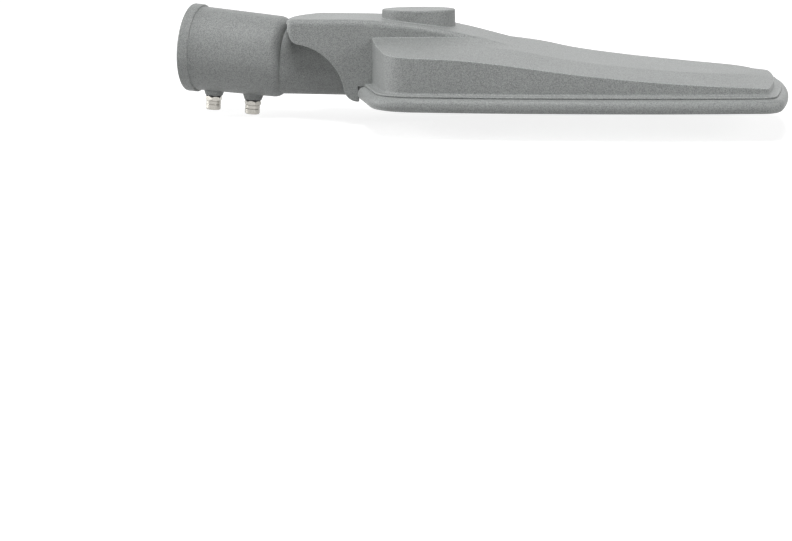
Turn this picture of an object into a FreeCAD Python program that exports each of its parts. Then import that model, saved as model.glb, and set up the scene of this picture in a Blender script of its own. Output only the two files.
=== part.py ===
import FreeCAD, Part
import math
import os

V = FreeCAD.Vector

# LED street light head for a horizontal pole end. Millimetres.
# +X runs from the pole's mouth to the tip, +Y to the far side, +Z up.
# Heights are laid out from the base plane, the underside of the frame. On export every
# piece is lowered by MOUTH_HEIGHT, so the origin is the centre of the pole bore at its mouth.

# Fits
THREAD_CLEARANCE = 0.05
SCREW_CLEARANCE = 0.3
SEAT_CLEARANCE = 0.2

# Pole socket
POLE_DIAMETER = 60.0
POLE_CLEARANCE = 1.0
SOCKET_TILT = 5.1
MOUTH_HEIGHT = 37.8
SOCKET_DEPTH = 80.0
SOCKET_LENGTH = 88.0
SOCKET_WALL = 5.4
SOCKET_DRAFT = 1.8
SHOULDER_ROUND = 9.0
COLLAR_LENGTH = 9.3
COLLAR_STEP = 1.6
COLLAR_ROUND = 1.2

# Neck between the socket and the housing
NECK_HALF_WIDTH = 24.0
NECK_BOTTOM = -1.2
NECK_TOP = 57.0
NECK_ROOT = 84.0
NECK_WALL = 4.0
NECK_CORE_START = 100.0
NECK_FLANGE_HALF_WIDTH = 39.0
NECK_FLANGE_THICKNESS = 8.0
NECK_FLANGE_BOTTOM = 16.0
NECK_FLANGE_CORNER = 5.0
NECK_GASKET = 1.0
CABLE_WAY_RADIUS = 11.0
CABLE_HEIGHT = 33.0

# Clamp screws under the socket
CLAMP_POSITIONS = (22.5, 58.5)
CLAMP_THREAD = 8.0
CLAMP_HEAD_DIAMETER = 13.0
CLAMP_HEAD_HEIGHT = 8.0
CLAMP_SOCKET_AF = 6.0
CLAMP_TIP_RECESS = 0.5
CLAMP_NUT_AF = 13.0
CLAMP_NUT_HEIGHT = 4.8
CLAMP_BOSS_ROOT_RADIUS = 9.5
CLAMP_BOSS_FACE_RADIUS = 7.6
CLAMP_BOSS_HEIGHT = 3.1

# Plan outline of the frame, the widest piece
FRAME_REAR = 162.0
REAR_FLAT_HALF_WIDTH = 48.0
SHOULDER_X = 194.0
HALF_WIDTH = 125.0
TIP_X = 508.0
TIP_CORNER_X = 502.0
TIP_HALF_WIDTH = 84.5
SIDE_BOW = 9.0
REAR_CORNER_RADIUS = 42.0
TIP_CORNER_RADIUS = 20.0
INNER_CORNER = 5.0

# Frame under the housing
FRAME_HEIGHT = 11.0
FRAME_LOWER_ROUND = 4.8
FRAME_UPPER_ROUND = 5.6
FRAME_FLOOR = 3.0
FRAME_RIM = 17.0
SEAM = 0.3
WINDOW_INSET = 38.0
WINDOW_REAR = 300.0
GLASS_MARGIN = 8.0
GLASS_THICKNESS = 4.0
GLASS_GASKET = 1.5

# Screws that hold the frame to the housing
FRAME_SCREW = 5.0
FRAME_SCREW_HEAD = 9.2
FRAME_SCREW_HEAD_HEIGHT = 3.0
FRAME_SCREW_SEAT = 4.0
FRAME_SCREW_GRIP = 6.5
FRAME_SCREW_INSET = 22.0
FRAME_SCREW_SIDE_X = (235.0, 330.0, 425.0)
FRAME_SCREW_REAR = (195.0, 62.0)
FRAME_SCREW_TIP_Y = 40.0
FRAME_BOSS_RADIUS = 6.5
HOUSING_BOSS_RADIUS = 7.5

# Clips that press the glass on its gasket
CLIP_SIDE_X = (312.0, 377.0, 455.0)
CLIP_REAR_Y = 40.0
CLIP_EDGE_GAP = 5.0
CLIP_REACH = 4.0
CLIP_TAIL = 4.0
CLIP_WIDTH = 12.0
CLIP_THICKNESS = 1.2
CLIP_BOSS_RADIUS = 3.6
CLIP_SCREW = 3.0
CLIP_SCREW_HEAD = 5.5
CLIP_SCREW_HEAD_HEIGHT = 1.8
CLIP_SCREW_GRIP = 4.0

# Light engine behind the glass
LENS_CLEARANCE = 0.9
LENS_HEIGHT = 4.2
LENS_BASE = 2.4
LENS_RADIUS = 7.0
LENS_TOP_RADIUS = 4.4
LED_SIZE = 5.0
LED_HEIGHT = 0.9
LED_POCKET_CLEARANCE = 0.4
BOARD_THICKNESS = 1.6
BOARD_REAR = 308.0
BOARD_LENGTH = 140.0
BOARD_WIDTH = 36.0
BOARD_CENTRE_Y = 21.0
BOARD_CORNER = 2.0
LED_COLUMNS = 7
LED_ROWS = 2
LED_PITCH_X = 19.0
LED_PITCH_Y = 17.5
BOARD_SCREW = 3.0
BOARD_SCREW_HEAD = 5.5
BOARD_SCREW_HEAD_HEIGHT = 1.6
PLATE_THICKNESS = 2.5
PLATE_INSET = 40.0
PLATE_REAR = 302.0
PLATE_FRONT = 455.0
PLATE_SCREW_POINTS = ((318.0, 55.0), (380.0, 50.0), (440.0, 46.0))
INNER_BOSS_RADIUS = 5.0
INNER_SCREW = 4.0
INNER_SCREW_HEAD = 7.0
INNER_SCREW_HEAD_HEIGHT = 2.2
INNER_SCREW_GRIP = 3.2

# Gear tray and what it carries
TRAY_HEIGHT = 37.3
TRAY_THICKNESS = 1.5
TRAY_REAR = 206.0
TRAY_FRONT = 285.0
TRAY_HALF_WIDTH = 71.0
TRAY_CORNER = 4.0
TRAY_SCREW_MARGIN = 6.5
DRIVER_REAR = 227.0
DRIVER_WIDTH = 50.0
DRIVER_HALF_LENGTH = 58.0
DRIVER_HEIGHT = 29.0
DRIVER_ROUND = 2.5
DRIVER_TAB = 9.0
DRIVER_TAB_WIDTH = 22.0
DRIVER_TAB_THICKNESS = 2.0
TERMINAL_REAR = 208.0
TERMINAL_DEPTH = 15.0
TERMINAL_HEIGHT = 18.0
TERMINAL_PITCH = 13.0
TERMINAL_POLES = 3
TERMINAL_START_Y = -36.0
TERMINAL_WIRE_RADIUS = 2.4
TERMINAL_SCREW = 3.0
TERMINAL_SCREW_HEAD = 5.2
TERMINAL_SCREW_HEAD_HEIGHT = 1.8
TERMINAL_WELL_DEPTH = 2.6
SURGE_START_Y = 10.0
SURGE_LENGTH = 34.0
SURGE_HEIGHT = 22.0

# Cable gland in the bulkhead
GLAND_THREAD = 16.0
GLAND_AF = 22.0
GLAND_HEX_HEIGHT = 5.0
GLAND_SLEEVE = 7.0
GLAND_SLEEVE_RADIUS = 8.0
GLAND_LOCKNUT_HEIGHT = 4.5
GLAND_CAP_AF = 21.0
GLAND_CAP_HEIGHT = 10.0
GLAND_DOME_RADIUS = 13.0
GLAND_BORE_RADIUS = 4.5
GLAND_SEAL_RADIUS = 6.0

# Bolts of the neck's flange
NECK_BOLT = 6.0
NECK_BOLT_HEAD = 10.0
NECK_BOLT_HEAD_HEIGHT = 6.0
NECK_BOLT_Y = 31.5
NECK_BOLT_Z = (24.0, 49.0)

# Pressure vent in the floor
VENT_POINT = (214.0, -84.0)
VENT_THREAD = 10.0
VENT_HEAD_RADIUS = 7.0
VENT_HEAD_HEIGHT = 1.6
VENT_NUT_AF = 14.0
VENT_NUT_HEIGHT = 3.0

# Housing
WALL = 3.0
LIP_INSET = 5.8
LIP_HEIGHT = 1.4
WALL_INSET = 12.0
LIP_FILLET = 2.0
LIP_ROUND = 0.6
CHEEK_WALL = 4.0
SEAL_INSET = 8.0
SEAL_WIDTH = 3.0
SEAL_DEPTH = 1.5
HEX_KEY_SHARE = 0.5
KEY_DEPTH_SHARE = 0.55
HEAD_CHAMFER_SHARE = 0.15

# Hump and cheeks
HUMP_REAR = 92.0
HUMP_CORNER = (103.0, 49.5)
HUMP_TOP = 65.6
HUMP_FLAT_END = 150.0
HUMP_SLOPE_START = 261.0
HUMP_SLOPE_HEIGHT = 51.4
HUMP_FRONT = 322.0
HUMP_FRONT_HEIGHT = 37.2
HUMP_FRONT_HALF_WIDTH = 33.5
HUMP_ROUND = 5.0
HUMP_REAR_CORNER = 8.0
HUMP_REACH = 60.0
CHEEK_CORNER = (103.0, 55.0)
CHEEK_CORNER_MIDDLE = (104.9, 49.2)
CHEEK_CORNER_END = (110.5, 45.2)
ARCH_MIDDLE = (136.5, 32.6)
ARCH_END = (149.3, 9.8)
TOE_MIDDLE = (152.6, 2.0)
TOE_END = (161.0, -1.6)
TOE_CLEARANCE = 0.6
OPEN_REACH = 20.0
BULKHEAD_X = 168.0
BULKHEAD_THICKNESS = 4.0

# Boss on top
BOSS_X = 203.2
BOSS_TOP = 72.2
BOSS_RADIUS = 30.7
BOSS_DRAFT = 0.4
BOSS_ROUND = 1.0
BOSS_WALL = 3.5
BOSS_ROOT = 52.0

# Roof of the shell, by section: X, height of the spine, half width and height of the crease,
# height of the wall's upper edge
ROOF_SECTIONS = (
    (140.0, 54.2, 62.0, 46.6, 41.6),
    (180.0, 54.0, 62.0, 46.5, 41.6),
    (220.0, 53.9, 62.0, 46.7, 41.0),
    (256.0, 52.6, 60.8, 46.7, 39.8),
    (275.0, 48.0, 59.0, 45.4, 38.2),
    (300.0, 42.6, 56.5, 42.5, 35.4),
    (328.0, 37.6, 55.2, 37.3, 31.6),
    (360.0, 33.2, 54.2, 33.2, 27.8),
    (395.0, 30.0, 53.0, 29.8, 24.4),
    (440.0, 26.9, 46.0, 26.7, 21.0),
    (470.0, 25.4, 33.0, 25.2, 19.4),
    (486.0, 22.6, 22.0, 22.4, 18.6),
    (500.0, 16.6, 14.0, 16.5, 16.2),
)
ROOF_PITCH = 12.0
ROOF_REACH = 150.0
SPINE_SHARE = 0.5
PRISM_TOP = 90.0
PLAN_REACH = 200.0


def box(x0, x1, y0, y1, z0, z1):
    """Block between two corners."""
    return Part.makeBox(x1 - x0, y1 - y0, z1 - z0, V(x0, y0, z0))


def between(shape, x0, x1):
    """The part of a shape that lies between two planes square to X."""
    return shape.common(box(x0, x1, -PLAN_REACH, PLAN_REACH, -PLAN_REACH, PLAN_REACH))


def rod(radius, start, direction, length):
    """Cylinder from a point along a direction."""
    return Part.makeCylinder(radius, length, start, direction)


def hex_prism(across_flats, start, direction, height):
    """Hexagon prism from a point along a direction."""
    radius = across_flats / math.sqrt(3.0)
    corners = [V(radius * math.cos(math.radians(60 * k)), radius * math.sin(math.radians(60 * k)), 0)
               for k in range(7)]
    prism = Part.Face(Part.makePolygon(corners)).extrude(V(0, 0, height))
    prism.Placement = FreeCAD.Placement(start, FreeCAD.Rotation(V(0, 0, 1), direction))
    return prism


def arc(a, b, c):
    """Arc edge through three points."""
    return Part.Arc(a, b, c).toShape()


def line(a, b):
    """Straight edge between two points."""
    return Part.LineSegment(a, b).toShape()


def drilled(body, points, radius):
    """A level plate with a hole through it at each point."""
    low, high = body.BoundBox.ZMin - 1, body.BoundBox.ZMax + 1
    for x, y in points:
        body = body.cut(rod(radius, V(x, y, low), V(0, 0, 1), high - low))
    return body


def mirrored(shape):
    """The same shape on the other side of the plane Y = 0."""
    return shape.mirror(V(0, 0, 0), V(0, 1, 0))


def bowed(start, end, bow):
    """Centre and radius of the arc in plan that bows outwards from a chord, to the left of its direction."""
    chord = end - start
    outward = V(-chord.y, chord.x, 0).normalize()
    radius = (chord.Length ** 2 / 4 + bow ** 2) / (2 * bow)
    return (start + end) / 2 + outward * (bow - radius), radius


def side_arc():
    """Centre and radius of the long side's arc in plan, on the +Y side."""
    return bowed(V(SHOULDER_X, HALF_WIDTH, 0), V(TIP_CORNER_X, TIP_HALF_WIDTH, 0), SIDE_BOW)


def tip_arc():
    """Centre and radius of the tip's arc in plan."""
    return bowed(V(TIP_CORNER_X, TIP_HALF_WIDTH, 0), V(TIP_CORNER_X, -TIP_HALF_WIDTH, 0), TIP_X - TIP_CORNER_X)


def half_width(x):
    """Half width of the frame's outline at X, along the long side."""
    centre, radius = side_arc()
    return centre.y + math.sqrt(radius ** 2 - (max(x, SHOULDER_X) - centre.x) ** 2)


def toward(start, end, distance):
    """Point at a distance from one point towards another."""
    return start + (end - start).normalize() * distance


def line_meets_circle(point, direction, centre, radius):
    """Where a line leaves a circle."""
    offset = point - centre
    half_b = offset.dot(direction)
    return point + direction * (-half_b + math.sqrt(half_b ** 2 - offset.Length ** 2 + radius ** 2))


def circles_meet(centre_a, radius_a, centre_b, radius_b):
    """The meeting point of two circles that lies to the left of the way from the first centre."""
    gap = centre_b - centre_a
    along = (gap.Length ** 2 + radius_a ** 2 - radius_b ** 2) / (2 * gap.Length)
    across = math.sqrt(radius_a ** 2 - along ** 2)
    unit = gap / gap.Length
    return centre_a + unit * along + V(-unit.y, unit.x, 0) * across


def corner_arc(centre, radius, start, end):
    """Arc of a corner between its two tangent points."""
    return arc(start, toward(centre, (start + end) / 2, radius), end)


def plan_wire(inset):
    """Outline of the frame in plan, drawn in by an inset: flat rear, raked shoulders, bowed sides and tip.

    Every curve keeps its centre and loses the inset from its radius, so all outlines are parallel.
    """
    side_centre, side_radius = side_arc()
    tip_centre, tip_radius = tip_arc()
    shoulder_round = max(REAR_CORNER_RADIUS - inset, INNER_CORNER)
    tip_round = max(TIP_CORNER_RADIUS - inset, INNER_CORNER)
    rear_corner = V(FRAME_REAR, REAR_FLAT_HALF_WIDTH, 0)
    rake = (V(SHOULDER_X, HALF_WIDTH, 0) - rear_corner).normalize()
    inward = V(rake.y, -rake.x, 0)

    shoulder = line_meets_circle(rear_corner + inward * (inset + shoulder_round), rake,
                                 side_centre, side_radius - inset - shoulder_round)
    corner = circles_meet(tip_centre, tip_radius - inset - tip_round,
                          side_centre, side_radius - inset - tip_round)
    rear = rear_corner + inward * inset
    rear = rear + rake * ((FRAME_REAR + inset - rear.x) / rake.x)
    shoulder_in = shoulder - inward * shoulder_round
    shoulder_out = toward(side_centre, shoulder, side_radius - inset)
    corner_in = toward(side_centre, corner, side_radius - inset)
    corner_out = toward(tip_centre, corner, tip_radius - inset)
    side_middle = toward(side_centre, (shoulder_out + corner_in) / 2, side_radius - inset)

    half = [line(rear, shoulder_in),
            corner_arc(shoulder, shoulder_round, shoulder_in, shoulder_out),
            arc(shoulder_out, side_middle, corner_in),
            corner_arc(corner, tip_round, corner_in, corner_out)]
    tip = arc(corner_out, V(TIP_X - inset, 0, 0), V(corner_out.x, -corner_out.y, 0))
    edges = half + [tip] + [mirrored(edge) for edge in reversed(half)]
    edges.append(line(V(rear.x, -rear.y, 0), rear))
    return Part.Wire(Part.__sortEdges__(edges))


def round_uprights(solid, x, radius):
    """Fillet the upright edges that stand at X."""
    uprights = [edge for edge in solid.Edges
                if edge.BoundBox.ZLength > 0.5 and edge.BoundBox.XLength < 0.01
                and edge.BoundBox.YLength < 0.01 and abs(edge.BoundBox.XMin - x) < 0.01]
    return solid.makeFillet(radius, uprights)


def plan_prism(inset, z0, z1):
    """Prism on the frame's outline, drawn in by an inset, between two heights."""
    prism = Part.Face(plan_wire(inset)).extrude(V(0, 0, z1 - z0))
    prism.translate(V(0, 0, z0))
    return prism


def slopes(values):
    """Slope of each value over X that keeps a smooth curve from running past its points."""
    steps = [(b[1] - a[1]) / (b[0] - a[0]) for a, b in zip(values, values[1:])]
    inner = [0.0 if a * b <= 0 else 2 * a * b / (a + b) for a, b in zip(steps, steps[1:])]
    return [steps[0]] + inner + [steps[-1]]


def smooth(values, x):
    """Height or width at X on the smooth curve through the given values."""
    grades = slopes(values)
    index = max(k for k in range(len(values) - 1) if values[k][0] <= x or k == 0)
    (x0, v0), (x1, v1) = values[index], values[index + 1]
    span = x1 - x0
    t = (x - x0) / span
    return ((2 * t ** 3 - 3 * t ** 2 + 1) * v0 + (t ** 3 - 2 * t ** 2 + t) * span * grades[index]
            + (3 * t ** 2 - 2 * t ** 3) * v1 + (t ** 3 - t ** 2) * span * grades[index + 1])


def roof_station(x):
    """Spine height, half width and height of the crease, and height of the wall at X."""
    return [smooth([(section[0], section[k]) for section in ROOF_SECTIONS], x) for k in range(1, 5)]


def roof_section(x, drop):
    """Closed section of the shell at one station, lowered by a drop."""
    spine, crease_half, crease, wall_top = roof_station(x)
    wall_half = half_width(x) - WALL_INSET
    slope = (crease - wall_top) / (wall_half - crease_half)
    edge = crease - slope * (ROOF_REACH - crease_half)
    half = [(ROOF_REACH, 0.0), (ROOF_REACH, edge - drop), (crease_half, crease - drop),
            (SPINE_SHARE * crease_half, spine - drop)]
    points = [V(x, y, z) for y, z in half] + [V(x, -y, z) for y, z in reversed(half)]
    return Part.makePolygon(points + points[:1])


def roof_body(drop):
    """Everything under the roof surface, as a loft through the sections."""
    start, end = ROOF_SECTIONS[0][0], ROOF_SECTIONS[-1][0]
    count = round((end - start) / ROOF_PITCH)
    stations = [start + (end - start) * k / count for k in range(count + 1)]
    return Part.makeLoft([roof_section(x, drop) for x in stations], True, False)


def hump_half_width(x):
    """Half width of the hump at X: its sides draw in towards the front."""
    corner_x, corner_y = HUMP_CORNER
    return corner_y + (HUMP_FRONT_HALF_WIDTH - corner_y) * (x - corner_x) / (HUMP_FRONT - corner_x)


def hump_profile(drop, rear, bottom):
    """Side profile of the hump drawn across, with its roof lowered by a drop."""
    top = HUMP_TOP - drop
    fall = HUMP_TOP - HUMP_SLOPE_HEIGHT
    run = HUMP_SLOPE_START - HUMP_FLAT_END
    radius = (run ** 2 + fall ** 2) / (2 * fall)
    half_turn = math.asin(run / radius) / 2
    y = -HUMP_REACH
    flat_end = V(HUMP_FLAT_END, y, top)
    middle = V(HUMP_FLAT_END + radius * math.sin(half_turn), y, top - radius * (1 - math.cos(half_turn)))
    slope_start = V(HUMP_SLOPE_START, y, HUMP_SLOPE_HEIGHT - drop)
    front = V(HUMP_FRONT, y, HUMP_FRONT_HEIGHT - drop)
    corners = [V(rear, y, top), V(rear, y, bottom), V(HUMP_FRONT, y, bottom)]
    edges = [line(corners[0], flat_end), arc(flat_end, middle, slope_start), line(slope_start, front),
             line(front, corners[2]), line(corners[2], corners[1]), line(corners[1], corners[0])]
    return Part.Face(Part.Wire(edges)).extrude(V(0, 2 * HUMP_REACH, 0))


def hump_space(drop, wall, x0, x1, bottom):
    """Hollow of the hump between two planes square to X, inside its sides by a wall."""
    corners = [V(x, side * (hump_half_width(x) - wall), bottom)
               for x, side in ((x0, 1), (x1, 1), (x1, -1), (x0, -1), (x0, 1))]
    plan = Part.Face(Part.makePolygon(corners)).extrude(V(0, 0, PRISM_TOP - bottom))
    return plan.common(hump_profile(drop, HUMP_REAR - OPEN_REACH, bottom))


def rounded_hump():
    """Outer form of the hump: bulged rear, tapered sides, rounded roof edges and rear corners."""
    low = TOE_END[1]
    corner_x, corner_y = HUMP_CORNER
    front = HUMP_FRONT_HALF_WIDTH
    edges = [line(V(corner_x, corner_y, low), V(HUMP_FRONT, front, low)),
             line(V(HUMP_FRONT, front, low), V(HUMP_FRONT, -front, low)),
             line(V(HUMP_FRONT, -front, low), V(corner_x, -corner_y, low)),
             arc(V(corner_x, -corner_y, low), V(HUMP_REAR, 0, low), V(corner_x, corner_y, low))]
    plan = Part.Face(Part.Wire(edges)).extrude(V(0, 0, PRISM_TOP - low))
    body = round_uprights(plan, corner_x, HUMP_REAR_CORNER)
    body = body.common(hump_profile(0.0, HUMP_REAR - OPEN_REACH, low))
    roof_edges = [edge for edge in body.Edges if edge.BoundBox.ZMin > HUMP_FRONT_HEIGHT - 1
                  and edge.BoundBox.XMin < HUMP_FRONT - 1 and not across(edge)]
    return body.makeFillet(HUMP_ROUND, roof_edges)


def across(edge):
    """Whether an edge runs straight across the hump, from one side to the other."""
    return edge.BoundBox.XLength < 0.01 and edge.BoundBox.YLength > 1


def arch_cutter():
    """Space that the neck leaves open in the cheeks: below the S-shaped lower edge."""
    y = -HUMP_REACH

    def at(point):
        return V(point[0], y, point[1])

    low = TOE_END[1] - 10
    rear = HUMP_REAR - OPEN_REACH
    edges = [line(V(rear, y, low), V(rear, y, CHEEK_CORNER[1])),
             line(V(rear, y, CHEEK_CORNER[1]), at(CHEEK_CORNER)),
             arc(at(CHEEK_CORNER), at(CHEEK_CORNER_MIDDLE), at(CHEEK_CORNER_END)),
             arc(at(CHEEK_CORNER_END), at(ARCH_MIDDLE), at(ARCH_END)),
             arc(at(ARCH_END), at(TOE_MIDDLE), at(TOE_END)),
             line(at(TOE_END), V(TOE_END[0], y, low)),
             line(V(TOE_END[0], y, low), V(rear, y, low))]
    return Part.Face(Part.Wire(edges)).extrude(V(0, -2 * y, 0))


def roof_boss(radius, z0, z1):
    """Round boss on the roof, slightly drafted."""
    return Part.makeCone(radius + BOSS_DRAFT, radius, z1 - z0, V(BOSS_X, 0, z0))


def top_housing():
    """Cast upper housing: shell, hump, cheeks, bulkhead, lip and boss in one piece."""
    seam = FRAME_HEIGHT + SEAM
    lip_top = seam + LIP_HEIGHT
    shell = plan_prism(WALL_INSET, seam, PRISM_TOP).common(roof_body(0.0))
    lip = plan_prism(LIP_INSET, seam, lip_top)
    lip = lip.makeFillet(LIP_ROUND, [edge for edge in lip.Edges if edge.BoundBox.ZMin > lip_top - 0.01])
    body = shell.fuse(lip)
    body = body.makeFillet(LIP_FILLET, wall_foot(body, lip_top))
    body = body.fuse(rounded_hump().cut(arch_cutter()))
    toe_end = FRAME_REAR - TOE_CLEARANCE
    body = body.cut(box(toe_end, TIP_X, -PLAN_REACH, PLAN_REACH, 2 * TOE_END[1], seam))
    boss = roof_boss(BOSS_RADIUS, BOSS_ROOT, BOSS_TOP)
    boss = boss.makeFillet(BOSS_ROUND, [edge for edge in boss.Edges if edge.BoundBox.ZMin > BOSS_TOP - 0.01])
    body = body.fuse(boss)

    inside = plan_prism(WALL_INSET + WALL, seam - 1, PRISM_TOP).common(roof_body(WALL))
    body = body.cut(inside)
    front = BULKHEAD_X + BULKHEAD_THICKNESS
    body = body.cut(hump_space(WALL, WALL, front, HUMP_FRONT, lip_top))
    body = body.cut(hump_space(CHEEK_WALL, CHEEK_WALL, HUMP_REAR - OPEN_REACH, BULKHEAD_X, 2 * TOE_END[1]))
    body = body.cut(roof_boss(BOSS_RADIUS - BOSS_WALL, BOSS_ROOT, BOSS_TOP - BOSS_WALL))
    return drill_bulkhead(add_housing_bosses(body))


def wall_foot(body, height):
    """Edges where the shell's wall stands on its lip."""
    ring = Part.Wire(plan_wire(WALL_INSET).Edges)
    ring.translate(V(0, 0, height))
    return [edge for edge in body.Edges
            if abs(edge.BoundBox.ZMin - height) < 0.01 and abs(edge.BoundBox.ZMax - height) < 0.01
            and ring.distToShape(Part.Vertex(edge.valueAt(edge.FirstParameter)))[0] < 0.01]


def add_housing_bosses(body):
    """Screw bosses that hang from the roof: for the frame, the lens plate and the gear tray."""
    seam = FRAME_HEIGHT + SEAM
    under_roof = roof_body(WALL / 2)
    groups = ((frame_screw_points(), seam, HOUSING_BOSS_RADIUS, FRAME_SCREW, FRAME_SCREW_GRIP),
              (plate_screw_points(), plate_top(), INNER_BOSS_RADIUS, INNER_SCREW, INNER_SCREW_GRIP),
              (tray_screw_points(), TRAY_HEIGHT + TRAY_THICKNESS, INNER_BOSS_RADIUS, INNER_SCREW,
               INNER_SCREW_GRIP - SEAT_CLEARANCE))
    for points, z, radius, thread, grip in groups:
        for x, y in points:
            boss = rod(radius, V(x, y, z), V(0, 0, 1), PRISM_TOP - z)
            body = body.fuse(boss.common(under_roof))
        for x, y in points:
            body = body.cut(rod(thread / 2 + THREAD_CLEARANCE, V(x, y, z), V(0, 0, 1), grip))
    return body


def drill_bulkhead(body):
    """Holes for the cable gland and the neck's bolts."""
    start = BULKHEAD_X - 1
    length = BULKHEAD_THICKNESS + 2
    body = body.cut(rod(GLAND_THREAD / 2 + SCREW_CLEARANCE, V(start, 0, CABLE_HEIGHT), V(1, 0, 0), length))
    for y, z in neck_bolt_points():
        body = body.cut(rod(NECK_BOLT / 2 + SCREW_CLEARANCE, V(start, y, z), V(1, 0, 0), length))
    return body


def frame_screw_points():
    """Plan positions of the frame's screws on both sides."""
    _, tip_radius = tip_arc()
    tip_x = TIP_X - FRAME_SCREW_INSET - FRAME_SCREW_TIP_Y ** 2 / (2 * tip_radius)
    near = [FRAME_SCREW_REAR, (tip_x, FRAME_SCREW_TIP_Y)]
    near += [(x, half_width(x) - FRAME_SCREW_INSET) for x in FRAME_SCREW_SIDE_X]
    return [(x, side * y) for x, y in near for side in (1, -1)]


def plate_screw_points():
    """Plan positions of the lens plate's screws."""
    return [(x, side * y) for x, y in PLATE_SCREW_POINTS for side in (1, -1)]


def tray_screw_points():
    """Plan positions of the gear tray's screws, near its corners."""
    return [(x, side * (TRAY_HALF_WIDTH - TRAY_SCREW_MARGIN))
            for x in (TRAY_REAR + TRAY_SCREW_MARGIN, TRAY_FRONT - TRAY_SCREW_MARGIN) for side in (1, -1)]


def neck_bolt_points():
    """Y and height of the bolts through the neck's flange."""
    return [(side * NECK_BOLT_Y, z) for z in NECK_BOLT_Z for side in (1, -1)]


def glass_bottom():
    """Height of the pane's lower face, on its gasket."""
    return FRAME_FLOOR + GLASS_GASKET


def glass_top():
    """Height of the pane's upper face."""
    return glass_bottom() + GLASS_THICKNESS


def lens_base():
    """Height of the underside of the lens plate's flat base."""
    return glass_top() + LENS_CLEARANCE + LENS_HEIGHT


def board_bottom():
    """Height of the boards' lower face, which carries the LEDs."""
    return lens_base() + LENS_BASE


def plate_bottom():
    """Height of the mounting plate's lower face."""
    return board_bottom() + BOARD_THICKNESS


def plate_top():
    """Height of the mounting plate's upper face."""
    return plate_bottom() + PLATE_THICKNESS


def socket_point(along, down=0.0):
    """Point at a distance along the socket's axis from its mouth, and square to it downwards."""
    tilt = math.radians(SOCKET_TILT)
    return V(along * math.cos(tilt) - down * math.sin(tilt), 0,
             MOUTH_HEIGHT - along * math.sin(tilt) - down * math.cos(tilt))


def socket_axis():
    """Direction of the socket from its mouth inwards."""
    return socket_point(1.0) - socket_point(0.0)


def socket_down():
    """Direction square to the socket's axis, downwards."""
    return socket_point(0.0, 1.0) - socket_point(0.0)


def bore_radius():
    """Radius of the socket's bore around the pole."""
    return POLE_DIAMETER / 2 + POLE_CLEARANCE


def clamp_face():
    """Distance of the clamp bosses' faces from the socket's axis."""
    return bore_radius() + SOCKET_WALL + CLAMP_BOSS_HEIGHT


def oblong(half, bottom, top, x0, x1):
    """Upright oblong bar along X with round bottom and top."""
    body = box(x0, x1, -half, half, bottom + half, top - half)
    for z in (bottom + half, top - half):
        body = body.fuse(rod(half, V(x0, 0, z), V(1, 0, 0), x1 - x0))
    return body.removeSplitter()


def flange_x():
    """Rear face of the neck's flange."""
    return BULKHEAD_X - NECK_GASKET - NECK_FLANGE_THICKNESS


def pole_spigot():
    """Cast pole socket with its collar, neck, clamp bosses and fixing flange."""
    outer = bore_radius() + SOCKET_WALL
    axis = socket_axis()
    tube = Part.makeCone(outer, outer - SOCKET_DRAFT, SOCKET_LENGTH, socket_point(0), axis)
    end = max((edge for edge in tube.Edges if len(edge.Vertexes) == 1), key=lambda edge: edge.CenterOfMass.x)
    tube = tube.makeFillet(SHOULDER_ROUND, [end])
    collar = rod(outer + COLLAR_STEP, socket_point(0), axis, COLLAR_LENGTH)
    collar = collar.makeFillet(COLLAR_ROUND, [edge for edge in collar.Edges if len(edge.Vertexes) == 1])
    body = tube.fuse(collar)
    for along in CLAMP_POSITIONS:
        start = bore_radius() + SOCKET_WALL / 2
        body = body.fuse(Part.makeCone(CLAMP_BOSS_ROOT_RADIUS, CLAMP_BOSS_FACE_RADIUS, clamp_face() - start,
                                       socket_point(along, start), socket_down()))
    body = body.fuse(oblong(NECK_HALF_WIDTH, NECK_BOTTOM, NECK_TOP, NECK_ROOT, flange_x() + 1))
    flange = box(flange_x(), flange_x() + NECK_FLANGE_THICKNESS, -NECK_FLANGE_HALF_WIDTH,
                 NECK_FLANGE_HALF_WIDTH, NECK_FLANGE_BOTTOM, NECK_TOP)
    flange = flange.makeFillet(NECK_FLANGE_CORNER, [edge for edge in flange.Edges if edge.BoundBox.XLength > 1])
    body = body.fuse(flange)
    body = body.cut(rod(bore_radius(), socket_point(0), axis, SOCKET_DEPTH))
    body = body.cut(rod(CABLE_WAY_RADIUS, V(NECK_ROOT - OPEN_REACH, 0, CABLE_HEIGHT), V(1, 0, 0),
                        BULKHEAD_X - NECK_ROOT + OPEN_REACH))
    body = body.cut(neck_core(NECK_CORE_START, BULKHEAD_X))
    for y, z in neck_bolt_points():
        body = body.cut(rod(NECK_BOLT / 2 + THREAD_CLEARANCE, V(flange_x() - 1, y, z), V(1, 0, 0),
                            NECK_FLANGE_THICKNESS + 2))
    for along in CLAMP_POSITIONS:
        body = body.cut(rod(CLAMP_THREAD / 2 + THREAD_CLEARANCE, socket_point(along), socket_down(),
                            clamp_face() + 1))
    return body


def neck_core(x0, x1):
    """Hollow of the neck, open towards the bulkhead."""
    return oblong(NECK_HALF_WIDTH - NECK_WALL, NECK_BOTTOM + NECK_WALL, NECK_TOP - NECK_WALL, x0, x1)


def neck_gasket():
    """Flat seal between the neck's flange and the bulkhead."""
    x0 = BULKHEAD_X - NECK_GASKET
    body = box(x0, BULKHEAD_X, -NECK_FLANGE_HALF_WIDTH, NECK_FLANGE_HALF_WIDTH, NECK_FLANGE_BOTTOM, NECK_TOP)
    body = body.makeFillet(NECK_FLANGE_CORNER,
                           [edge for edge in body.Edges if edge.BoundBox.XLength > NECK_GASKET / 2])
    body = body.cut(neck_core(x0 - 1, BULKHEAD_X + 1))
    for y, z in neck_bolt_points():
        body = body.cut(rod(NECK_BOLT / 2 + SCREW_CLEARANCE, V(x0 - 1, y, z), V(1, 0, 0), NECK_GASKET + 2))
    return body


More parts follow.
